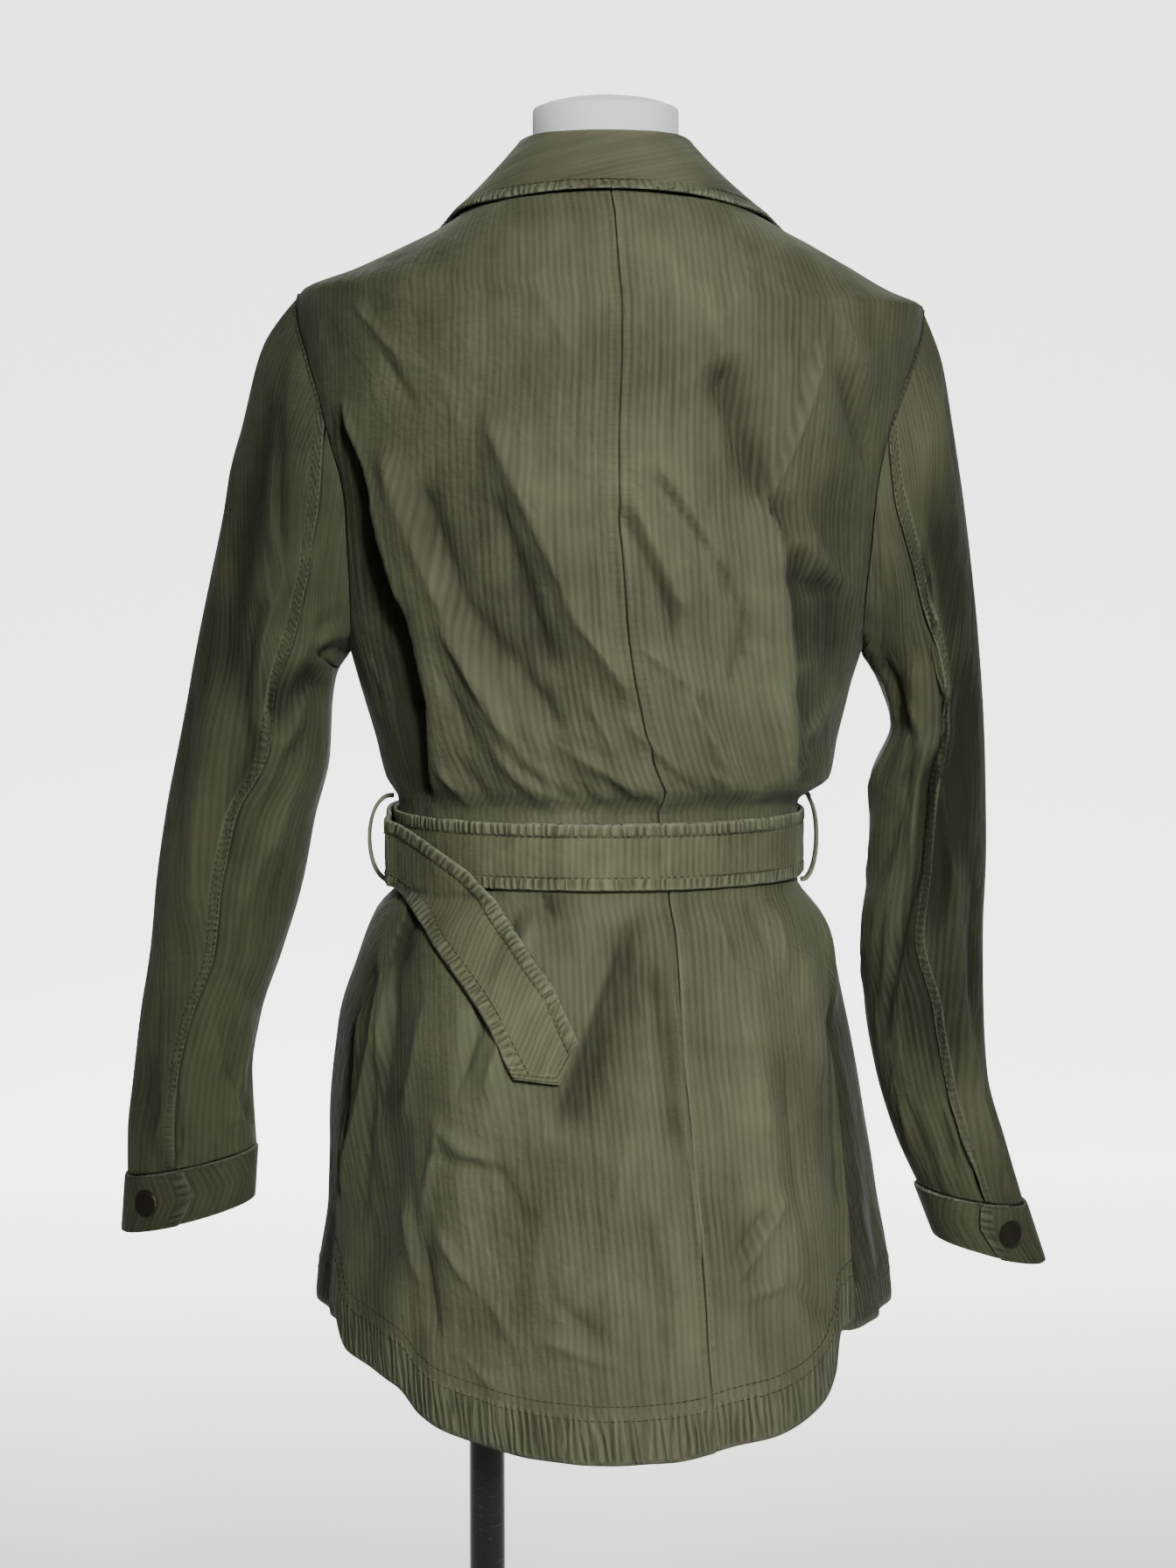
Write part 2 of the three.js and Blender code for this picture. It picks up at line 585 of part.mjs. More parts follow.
const SLEEVE_ROWS = [0, 0.3, 0.8, 1.4, 2, 2.7, 3.4, 4, 4.6, 5.2, 5.8, 6.5, 7.2, 8, 8.8, 9.6, 10.4, 11.2, 12];

const SLEEVE_SEAM_TURN = 0.3;

function sleevePanel(side, top, columns) {
  const rows = SLEEVE_ROWS.map((at) => {
    const seam = read(SLEEVE[side], 'at', 'seam', at);
    const gap = SLEEVE_SEAM_TURN;
    const from = top ? FRONT_SLEEVE_SEAM + gap : seam + gap;
    const to = top ? seam - gap : 360 + FRONT_SLEEVE_SEAM - gap;
    return steps(columns).map((u) => sleeveCloth(side, at, mix(from, to, u)));
  });
  return wall(rows);
}

for (const side of ['left', 'right']) {
  add(`sleeve_${side}_top`, sleevePanel(side, true, 11), COLOURS.cloth);
  add(`sleeve_${side}_under`, sleevePanel(side, false, 13), COLOURS.cloth);
}

// Cuffs: one strip round the wrist whose pointed tab laps over its other end.
function cuffPoint(side, angle, rise, lift) {
  const [top, bottom] = CUFF[side];
  const ring = {};
  for (const column of Object.keys(top)) ring[column] = mix(bottom[column], top[column], rise);
  const turn = angle * RAD;
  const across = Math.cos(turn);
  const depth = Math.sin(turn) > 0 ? ring.back : ring.front;
  const sign = side === 'left' ? -1 : 1;
  return new THREE.Vector3(
    mix(ring.inX, ring.outX, (across + 1) / 2) + sign * lift * across,
    ring.middle - (depth + lift) * Math.sin(turn),
    mix(ring.inZ, ring.outZ, (across + 1) / 2),
  );
}

function cuffCloth(side, angle, rise, lift) {
  const sign = side === 'left' ? 1 : -1;
  const point = (a, b) => cuffPoint(side, b, a, lift);
  const outer = point(rise, angle);
  const normal = normalOf(point, rise, angle, 0.05, 2).multiplyScalar(-sign);
  return { outer, inner: outer.clone().addScaledVector(normal, -CLOTH) };
}

function cuff(side) {
  const start = CUFF_TAB_ANGLE[side];
  const length = 360 + CUFF_UNDERLAP;
  const rows = [0, 0.5, 1].map((rise) => steps(30).map((u) => {
    const tip = rise === 0.5 ? CUFF_TAB_TIP * (1 - smooth(u / 0.07)) : 0;
    const angle = start + tip - u * length;
    const lift = 3.2 * (1 - smooth((u - 0.1) / 0.12)) - 0.2;
    return cuffCloth(side, angle, rise, lift);
  }));
  return wall(rows);
}

add('cuff_left', cuff('left'), COLOURS.cloth);
add('cuff_right', cuff('right'), COLOURS.cloth);

// A snap cap: a low turned disc with a rounded rim, its flat back at its own origin.
function snapGeometry() {
  const profile = [
    [0, 0],
    [SNAP.radius, 0],
    [SNAP.radius, SNAP.height - SNAP.rim],
    [SNAP.radius - SNAP.rim, SNAP.height],
    [SNAP.radius - 2.2 * SNAP.rim, SNAP.height - 0.3],
    [0, SNAP.height - 0.1],
  ];
  return new THREE.LatheGeometry(profile.map(([r, y]) => new THREE.Vector2(r, y)), 14);
}

function placeSnap(name, point, normal, colour = COLOURS.snap) {
  const mesh = add(name, snapGeometry(), colour, 0.45, 0.7);
  mesh.quaternion.setFromUnitVectors(new THREE.Vector3(0, 1, 0), normal);
  mesh.position.copy(point).addScaledVector(normal, SEAT_GAP);
}

for (const side of ['left', 'right']) {
  const place = cuffCloth(side, CUFF_SNAP_ANGLE[side], 0.5, 3);
  const normal = place.outer.clone().sub(place.inner).normalize();
  placeSnap(`cuff_snap_${side}`, place.outer, normal);
}

FRONT_SNAP_HEIGHTS.forEach((z, i) => {
  const place = bodyCloth(180, z, PLACKET_LIFT);
  const normal = place.outer.clone().sub(place.inner).normalize();
  placeSnap(`front_snap_${i + 1}`, place.outer, normal);
});

// The collar: a stand up from the neck seam, a rolled fold, and a fall out over the shoulders.
function collarFrame(angle) {
  const turn = angle * RAD;
  const out = new THREE.Vector3(Math.sin(turn), -Math.cos(turn), 0);
  const reach = read(COLLAR, 'angle', 'foldReach', Math.abs(angle));
  const foldZ = read(COLLAR, 'angle', 'foldZ', Math.abs(angle));
  const edgeZ = read(COLLAR, 'angle', 'edgeZ', Math.abs(angle));
  const fold = new THREE.Vector3(COLLAR_CENTRE_X, 0, foldZ).addScaledVector(out, reach);
  const side = angle < 0 ? 'left' : 'right';
  const neckLift = Math.abs(angle) > 90 ? frontLift(side, angle, NECK_FRONT_Z) : 0;
  const neck = bodyCloth(angle, neckHeight(angle), neckLift).outer.addScaledVector(out, -0.6);
  neck.z += SEAT_GAP + 0.8;
  const lift = LAY_GAP + CLOTH + 0.6 + PLACKET_LIFT * smooth((Math.abs(angle) - 120) / 22);
  const edge = body(angle, edgeZ);
  edge.addScaledVector(normalOf(body, angle, edgeZ, 1, 1.5), lift);
  return { out, fold, neck, edge };
}

function collarPoint(angle, part) {
  const { out, fold, neck, edge } = collarFrame(angle);
  const centre = fold.clone().addScaledVector(out, COLLAR_ROLL);
  centre.z -= COLLAR_ROLL;
  if (part < 1) {
    const top = centre.clone().addScaledVector(out, -COLLAR_ROLL);
    return neck.lerp(top, part);
  }
  if (part < 2) {
    const bend = Math.PI * (1 - (part - 1) * 0.86);
    centre.addScaledVector(out, COLLAR_ROLL * Math.cos(bend));
    centre.z += COLLAR_ROLL * Math.sin(bend);
    return centre;
  }
  const t = part - 2;
  const start = centre.clone().addScaledVector(out, COLLAR_ROLL * Math.cos(Math.PI * 0.14));
  start.z += COLLAR_ROLL * Math.sin(Math.PI * 0.14);
  const bulge = start.clone().lerp(edge, 0.5);
  bulge.addScaledVector(out, 5);
  bulge.z += 3;
  return start.multiplyScalar((1 - t) ** 2)
    .addScaledVector(bulge, 2 * t * (1 - t))
    .addScaledVector(edge, t * t);
}

function collarCloth(angle, part) {
  const point = (a, b) => collarPoint(a, Math.min(3, Math.max(0, b)));
  const outer = point(angle, part);
  const normal = normalOf(point, angle, part, 1.5, 0.03).multiplyScalar(-1);
  return { outer, inner: outer.clone().addScaledVector(normal, -CLOTH) };
}

const COLLAR_PARTS = [0, 0.5, 0.95, 1.25, 1.5, 1.75, 2.05, 2.35, 2.7, 3];

add('collar', wall(COLLAR_PARTS.map((part) => (
  steps(28).map((u) => collarCloth(mix(-COLLAR_END, COLLAR_END, u), part))
))), COLOURS.cloth);

// The belt: a band round the waist and its tail, which comes round the left side over the band.
const BELT_LIFT = LAY_GAP + BELT_CLOTH;
const BELT_GAP_ANGLE = 176;

function beltCloth(angle, rise, lift) {
  const z = mix(BELT_BOTTOM_Z, BELT_TOP_Z, rise);
  return bodyCloth(angle, z, lift, BELT_CLOTH);
}

// The band clears the lapped fronts as well as the body.
function beltLift(angle) {
  return BELT_LIFT + PLACKET_LIFT * smooth((Math.abs(angle) - 142) / 14);
}

add('belt_band', wall([0, 1].map((rise) => (
  steps(44).map((u) => {
    const angle = mix(-BELT_GAP_ANGLE, BELT_GAP_ANGLE, u);
    return beltCloth(angle, rise, beltLift(angle));
  })
))), COLOURS.belt);

// The tail's middle line from the front to its tip: the angle on the body, the height, and the
// turn of its width from upright in degrees.
const TAIL = [
  { at: 0, angle: -172, z: 951.5, tilt: 0 },
  { at: 1, angle: -150, z: 951.5, tilt: 0 },
  { at: 2, angle: -120, z: 951, tilt: 0 },
  { at: 3, angle: -94, z: 950.5, tilt: 4 },
  { at: 4, angle: -71, z: 947, tilt: 21 },
  { at: 5, angle: -49.5, z: 933, tilt: 39 },
  { at: 6, angle: -35, z: 911, tilt: 49 },
  { at: 7, angle: -23, z: 889, tilt: 54 },
  { at: 8, angle: -15.5, z: 865, tilt: 58 },
  { at: 9, angle: -8, z: 840, tilt: 60 },
];
const TAIL_HALF_WIDTH = 19.2;
const TAIL_TIP = 15;
const TAIL_STEPS = 26;
const TAIL_BRIDGE = 0.42;

// The body angle under a point of the back, from its place across and its height.
function angleAt(x, z) {
  const left = read(BODY, 'z', 'left', z);
  const right = read(BODY, 'z', 'right', z);
  const middle = read(BODY, 'z', 'middle', z);
  const across = (x - middle) / (x > middle ? right - middle : middle - left);
  const sine = Math.sign(across) * Math.min(1, Math.abs(across)) ** (1 / SECTION_SQUARENESS);
  return Math.asin(sine) / RAD;
}

// How far a belt layer stands out at a place: over the band, then bridging down to the skirt.
function tailReach(angle, z) {
  const turn = angle * RAD;
  const out = new THREE.Vector3(Math.sin(turn), -Math.cos(turn), 0);
  const lay = LAY_GAP + BELT_CLOTH + 0.4;
  const band = body(angle, BELT_BOTTOM_Z + 20).dot(out) + beltLift(angle) + lay;
  const below = Math.max(0, BELT_BOTTOM_Z - 2 - z);
  const skirt = body(angle, z).dot(out) + lay + 1.6;
  return { out, reach: Math.max(skirt, band - below * TAIL_BRIDGE) };
}

function tailPoint(at, across, tip) {
  const pick = (column, n) => read(TAIL, 'at', column, n);
  const middleOf = (n) => {
    const { out, reach } = tailReach(pick('angle', n), pick('z', n));
    const point = body(pick('angle', n), pick('z', n));
    return point.addScaledVector(out, reach - point.dot(out));
  };
  const here = middleOf(at);
  const along = middleOf(Math.min(9, at + 0.05)).sub(middleOf(Math.max(0, at - 0.05))).normalize();
  const tilt = pick('tilt', at) * RAD;
  const turn = pick('angle', at) * RAD;
  const level = new THREE.Vector3(Math.cos(turn), Math.sin(turn), 0);
  const side = level.multiplyScalar(Math.sin(tilt)).add(new THREE.Vector3(0, 0, Math.cos(tilt)));
  const point = here.addScaledVector(side, across * TAIL_HALF_WIDTH).addScaledVector(along, tip);
  if (pick('angle', at) > -80) {
    const angle = angleAt(point.x, point.z);
    const { out, reach } = tailReach(angle, point.z);
    point.addScaledVector(out, reach - point.dot(out));
  }
  return point;
}

function tailCloth(at, across, tip) {
  const outer = tailPoint(at, across, tip);
  const along = tailPoint(Math.min(9, at + 0.1), across, tip).sub(tailPoint(Math.max(0, at - 0.1), across, tip));
  const wide = tailPoint(at, Math.min(1, across + 0.2), tip).sub(tailPoint(at, Math.max(-1, across - 0.2), tip));
  const normal = along.cross(wide).normalize();
  return { outer, inner: outer.clone().addScaledVector(normal, -BELT_CLOTH) };
}

add('belt_tail', wall([-1, 0, 1].map((across) => (
  steps(TAIL_STEPS).map((u) => tailCloth(u * 9, across, u === 1 && across === 0 ? TAIL_TIP : 0))
))), COLOURS.belt);

// A plain frame buckle at the front, round the belt's two layers.
function buckle() {
  const half = { x: 24, z: 25 };
  const bar = 4;
  const outline = new THREE.Shape();
  outline.moveTo(-half.x, -half.z);
  outline.lineTo(half.x, -half.z);
  outline.lineTo(half.x, half.z);
  outline.lineTo(-half.x, half.z);
  outline.closePath();
  const hole = new THREE.Path();
  hole.moveTo(-half.x + bar, -half.z + bar);
  hole.lineTo(-half.x + bar, half.z - bar);
  hole.lineTo(half.x - bar, half.z - bar);
  hole.lineTo(half.x - bar, -half.z + bar);
  hole.closePath();
  outline.holes.push(hole);
  return new THREE.ExtrudeGeometry(outline, { depth: 3, bevelEnabled: false, curveSegments: 1 });
}

const BUCKLE_LIFT = 3.6;
const buckleSeat = beltCloth(180, 0.5, beltLift(180)).outer;
const buckleMesh = add('buckle', buckle(), COLOURS.metal, 0.4, 0.9);
buckleMesh.rotation.x = -Math.PI / 2;
buckleMesh.position.set(buckleSeat.x, buckleSeat.y + BUCKLE_LIFT, buckleSeat.z);

// Two narrow loops of cloth carry the belt at the sides.
function beltLoop(angle, reach) {
  const path = [
    { z: BELT_TOP_Z + 16, lift: LOOP_CLOTH + 0.5 },
    { z: BELT_TOP_Z + 11, lift: 5 },
    { z: BELT_TOP_Z + 3, lift: reach * 0.8 },
    { z: 951, lift: reach },
    { z: BELT_BOTTOM_Z - 4, lift: reach * 0.8 },
    { z: BELT_BOTTOM_Z - 15, lift: 7 },
    { z: SKIRT_TOP_Z, lift: LOOP_CLOTH + 0.5 },
  ];
  const rows = path.map(({ z, lift }, i) => [-1, 1].map((edge) => {
    const place = (n) => {
      const stop = path[Math.min(path.length - 1, Math.max(0, n))];
      return bodyCloth(angle, stop.z, stop.lift).outer;
    };
    const outer = bodyCloth(angle, z, lift).outer;
    const along = place(i + 1).sub(place(i - 1));
    const width = new THREE.Vector3(Math.cos(angle * RAD), Math.sin(angle * RAD), 0);
    outer.addScaledVector(width, edge * 5);
    const normal = along.clone().cross(width).normalize();
    return { outer, inner: outer.clone().addScaledVector(normal, -LOOP_CLOTH) };
  }));
  return wall(rows);
}

add('belt_loop_left', beltLoop(-88, BELT_LOOP_REACH.left), COLOURS.cloth);
add('belt_loop_right', beltLoop(92, BELT_LOOP_REACH.right), COLOURS.cloth);

// Hip pockets and their flaps lie on the fronts, made from the fronts' own points.
function patch(side, near, far, bottom, top, lift, point, columns, rowsUp) {
  const sign = side === 'left' ? -1 : 1;
  const rows = steps(rowsUp).map((v) => steps(columns).map((u) => {
    const drop = point * (1 - Math.abs(2 * u - 1)) * (1 - v);
    const angle = sign * mix(near, far, u);
    return bodyCloth(angle, mix(bottom, top, v) - drop, lift + frontLift(side, angle, bottom));
  }));
  return wall(rows);
}

for (const side of ['left', 'right']) {
  const pocketLift = LAY_GAP + CLOTH;
  const flapLift = 2 * (LAY_GAP + CLOTH);
  const pocket = patch(side, POCKET.near, POCKET.far, POCKET.bottomZ, POCKET.topZ, pocketLift, 0, 6, 5);
  const flap = patch(side, FLAP.near, FLAP.far, FLAP.bottomZ, FLAP.topZ, flapLift, FLAP.point, 6, 3);
  add(`pocket_${side}`, pocket, COLOURS.cloth);
  add(`pocket_flap_${side}`, flap, COLOURS.cloth);
}

// The dress form: a smooth torso to the hip, and a neck with a softly domed top.
const FORM_SIDES = 36;

function formRing(place) {
  return Array.from({ length: FORM_SIDES }, (unused, i) => place((360 * i) / FORM_SIDES - 180));
}

function formTorso() {
  const rings = FORM.map((row) => formRing((angle) => section(FORM, angle, row.z)));
  for (const t of steps(YOKE_ROWS)) {
    rings.push(formRing((angle) => {
      const side = angle < 0 ? 'left' : 'right';
      const z = mix(yokeHeight(side, angle), neckHeight(angle), t);
      return body(angle, z).addScaledVector(normalOf(body, angle, z, 1, 1.5), -FORM_INSET);
    }));
  }
  return stack(rings);
}

function formNeck() {
  const { x, halfWidth, halfDepth, bottomZ, topZ, crown } = FORM_NECK;
  const profile = [
    { z: bottomZ, size: 1 },
    { z: 1362, size: 0.985 },
    { z: topZ - crown - 2, size: 0.985 },
    { z: topZ - crown + 1, size: 0.955 },
    { z: topZ - crown + 4, size: 0.86 },
    { z: topZ - 1.5, size: 0.6 },
    { z: topZ, size: 0.25 },
  ];
  return stack(profile.map(({ z, size }) => formRing((angle) => new THREE.Vector3(
    x + size * halfWidth * Math.sin(angle * RAD),
    -size * halfDepth * Math.cos(angle * RAD),
    z,
  ))));
}

add('form_torso', formTorso(), COLOURS.form, 0.8);
add('form_neck', formNeck(), COLOURS.form, 0.8);

// The stand: hub under the torso, pole, and a round base with a boss for the pole.
function turned(profile, sides) {
  const geometry = new THREE.LatheGeometry(profile.map(([r, z]) => new THREE.Vector2(r, z)), sides);
  geometry.rotateX(Math.PI / 2);
  return geometry;
}

function addTurned(name, profile, sides, colour) {
  const mesh = add(name, turned(profile, sides), colour, 0.25, 0.1);
  mesh.position.set(POLE.x, POLE.y, 0);
}

const hubTop = FORM[0].z - SEAT_GAP;
addTurned('hub', [
  [0, HUB.bottomZ],
  [HUB.radius - 2, HUB.bottomZ],
  [HUB.radius, HUB.bottomZ + 2],
  [HUB.radius, hubTop],
  [0, hubTop],
], 32, COLOURS.pole);

const bossTop = BASE.thickness + BASE.bossHeight;
addTurned('pole', [
  [0, bossTop + SEAT_GAP],
  [POLE.radius, bossTop + SEAT_GAP],
  [POLE.radius, HUB.bottomZ - SEAT_GAP],
  [0, HUB.bottomZ - SEAT_GAP],
], 24, COLOURS.pole);

addTurned('base', [
  [0, 0],
  [BASE.radius, 0],
  [BASE.radius, BASE.thickness - BASE.bevel],
  [BASE.radius - BASE.bevel, BASE.thickness],
  [BASE.bossRadius, BASE.thickness],
  [BASE.bossRadius, bossTop],
  [0, bossTop],
], 44, COLOURS.pole);

// The origin is the middle of the whole part's footprint.
const footprint = new THREE.Box3().setFromObject(jacket);
jacket.position.x = -(footprint.min.x + footprint.max.x) / 2;
jacket.position.y = -(footprint.min.y + footprint.max.y) / 2;

export default jacket;
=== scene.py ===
"""A belted field jacket on a limbless dress form, seen from the back in plain studio light.

The cloth follows the same sections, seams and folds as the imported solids, in millimetres, and
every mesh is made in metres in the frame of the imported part.
"""
import math

import bmesh
import bpy
import numpy as np
from mathutils import Matrix, Vector


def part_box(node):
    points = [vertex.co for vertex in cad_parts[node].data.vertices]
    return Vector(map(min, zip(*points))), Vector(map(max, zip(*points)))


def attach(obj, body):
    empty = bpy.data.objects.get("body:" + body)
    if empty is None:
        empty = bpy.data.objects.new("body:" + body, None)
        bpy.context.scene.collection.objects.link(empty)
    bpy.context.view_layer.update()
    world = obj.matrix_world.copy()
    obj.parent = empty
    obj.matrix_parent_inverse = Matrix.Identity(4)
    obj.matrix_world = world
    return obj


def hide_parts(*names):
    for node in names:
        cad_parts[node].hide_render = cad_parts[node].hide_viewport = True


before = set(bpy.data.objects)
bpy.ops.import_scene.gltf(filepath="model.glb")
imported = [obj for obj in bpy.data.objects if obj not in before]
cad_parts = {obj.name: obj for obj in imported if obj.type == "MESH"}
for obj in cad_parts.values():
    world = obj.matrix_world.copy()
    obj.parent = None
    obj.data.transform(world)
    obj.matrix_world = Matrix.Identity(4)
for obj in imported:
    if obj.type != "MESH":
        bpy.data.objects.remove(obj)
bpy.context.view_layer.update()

bl_info = {
    "name": "Belted Jacket on Dress Form",
    "version": (1, 0, 0),
    "blender": (4, 5, 0),
    "location": "3D View > Sidebar > Jacket",
    "description": "Builds a belted field jacket, its dress form and a plain studio",
    "category": "Add Mesh",
}

MM = 0.001
ROOT = "root"
POLE_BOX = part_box("pole")
POLE_X = -59.0
POLE_PLACE = (POLE_BOX[0] + POLE_BOX[1]) / 2 / MM
SHIFT = np.array([POLE_PLACE.x - POLE_X, POLE_PLACE.y, 0.0])


def table(columns, rows):
    names = columns.split()
    values = np.array(rows, float)
    return {name: values[:, i] for i, name in enumerate(names)}


SQUARENESS = 0.92
ARMPIT_Z = 1064.0
SHOULDER_Z = {"left": 1274.0, "right": 1265.0}
SHOULDER_MIDDLE_Z = 1270.0
SKIRT_TOP_Z = 905.0
NECK_BACK_Z, NECK_FRONT_Z = 1335.0, 1295.0
BELT_TOP_Z, BELT_BOTTOM_Z = 971.0, 932.0
BELT_CLOTH, CLOTH = 2.6, 2.0
LAY_GAP, SEAM_GAP, SLEEVE_SEAM_GAP = 0.8, 0.5, 0.1
PLACKET_LIFT, PLACKET_OVERLAP = 3.6, 12.86
FOLD_FADE = 26.0
CREASE_SHARE = 1.7
UNDERLAP = 5.0
HEM_BAND = {"back": 27.0, "front": 25.0}
HEM_ROWS = {"back": (26.0, 34.5), "front": (18.0, 24.5)}
PLACKET_ROWS = (1.6, 24.0)

# Body sections: side limits and the middle between them, reach to the back and to the front.
BODY = table("z left middle right back front", [
    (600, -166, 13.5, 192, 134, 126), (690, -162, 13, 187, 132, 126),
    (733, -156, 12, 180, 131, 125), (775, -156, 8.5, 173, 128, 122), (837, -150, 6, 162, 121, 116),
    (879, -137, 7.5, 152, 111, 108), (910, -124, 8, 140, 100, 98), (928, -110, 9, 128, 91, 91),
    (975, -110, 9, 128, 91, 91), (990, -118, 14.5, 147, 101, 101), (1014, -124, 14, 152, 106, 112),
    (1035, -130, 13.5, 157, 108, 120), (1064, -138, 13.5, 165, 111, 129),
    (1120, -152, 14, 180, 115, 136), (1185, -163, 13.5, 190, 117, 132),
    (1237, -167, 15, 197, 114, 113), (1265, -168, 15, 199, 108, 95),
    (1274, -166, 14.8, 180, 106, 89), (1289, -130, 14.5, 155, 100, 75),
    (1299.5, -107, 14.5, 136, 94, 67), (1312.5, -82, 14.5, 112, 84, 58), (1325, -64, 13.5, 90, 73, 52),
    (1337, -48, 13, 74, 60, 47),
])
SEAMS = table("z left centre right", [
    (600, -65, 19, 55), (684, -66, 17.5, 55), (750, -71, 17.3, 58), (797, -67, 17.6, 61),
    (865, -64, 17, 66), (928, -72, 18, 83), (975, -84, 14.7, 90), (1003, -90, 10, 90),
    (1047, -90, 5.5, 90), (1091, -90, 3, 90), (1159, -90, 1.6, 90), (1342, -90, 1.5, 90),
])
ARMHOLE = table("rise back front", [
    (0, 0, 0), (0.06, 15, 18), (0.25, 24, 31), (0.5, 27, 36), (0.65, 25, 34), (0.85, 15, 19), (1, 0, 0),
])
BACK_HEM = table("angle z", [
    (-75, 690), (-64, 680), (-57, 659), (-41, 646), (-35, 632), (-22, 618), (-8, 611), (5, 609),
    (25, 618), (35, 624), (43, 636), (48, 650), (51, 674), (70, 688),
])
FRONT_HEM = table("angle z", [(50, 671), (90, 671), (140, 664), (190, 660)])

# Folds from (x0, z0) to (x1, z1) seen from the back: half width, height, and how sharp they are.
FOLD_COLUMNS = "x0 z0 x1 z1 width height"
BACK_FOLDS = table(FOLD_COLUMNS, [
    (-136, 1186, -96, 1010, 15, -10), (-118, 1180, -74, 985, 15, 7), (136, 1236, 104, 1150, 14, 6),
    (104, 1150, 122, 990, 15, 6), (150, 1180, 138, 1000, 14, -5), (-52, 1198, -12, 1112, 15, 4),
    (-112, 1160, -38, 1016, 16, 4), (38, 1190, 98, 1078, 15, 4), (-20, 1040, 40, 990, 12, 4),
    (-60, 900, -72, 700, 15, 6), (-30, 920, -52, 800, 12, 5), (36, 900, -12, 800, 14, -5),
    (44, 905, 52, 660, 12, 4), (92, 900, 118, 690, 16, 5), (-104, 890, -118, 700, 13, -5),
])
FRONT_FOLDS = table(FOLD_COLUMNS, [
    (-70, 1130, -52, 995, 15, 6), (92, 1130, 70, 995, 15, 6), (-108, 1110, -88, 1000, 13, -5),
    (128, 1110, 108, 1000, 13, -5), (-50, 900, -66, 700, 16, 6), (70, 900, 88, 700, 16, 6),
    (62, 1045, 92, 992, 13, 4),
])
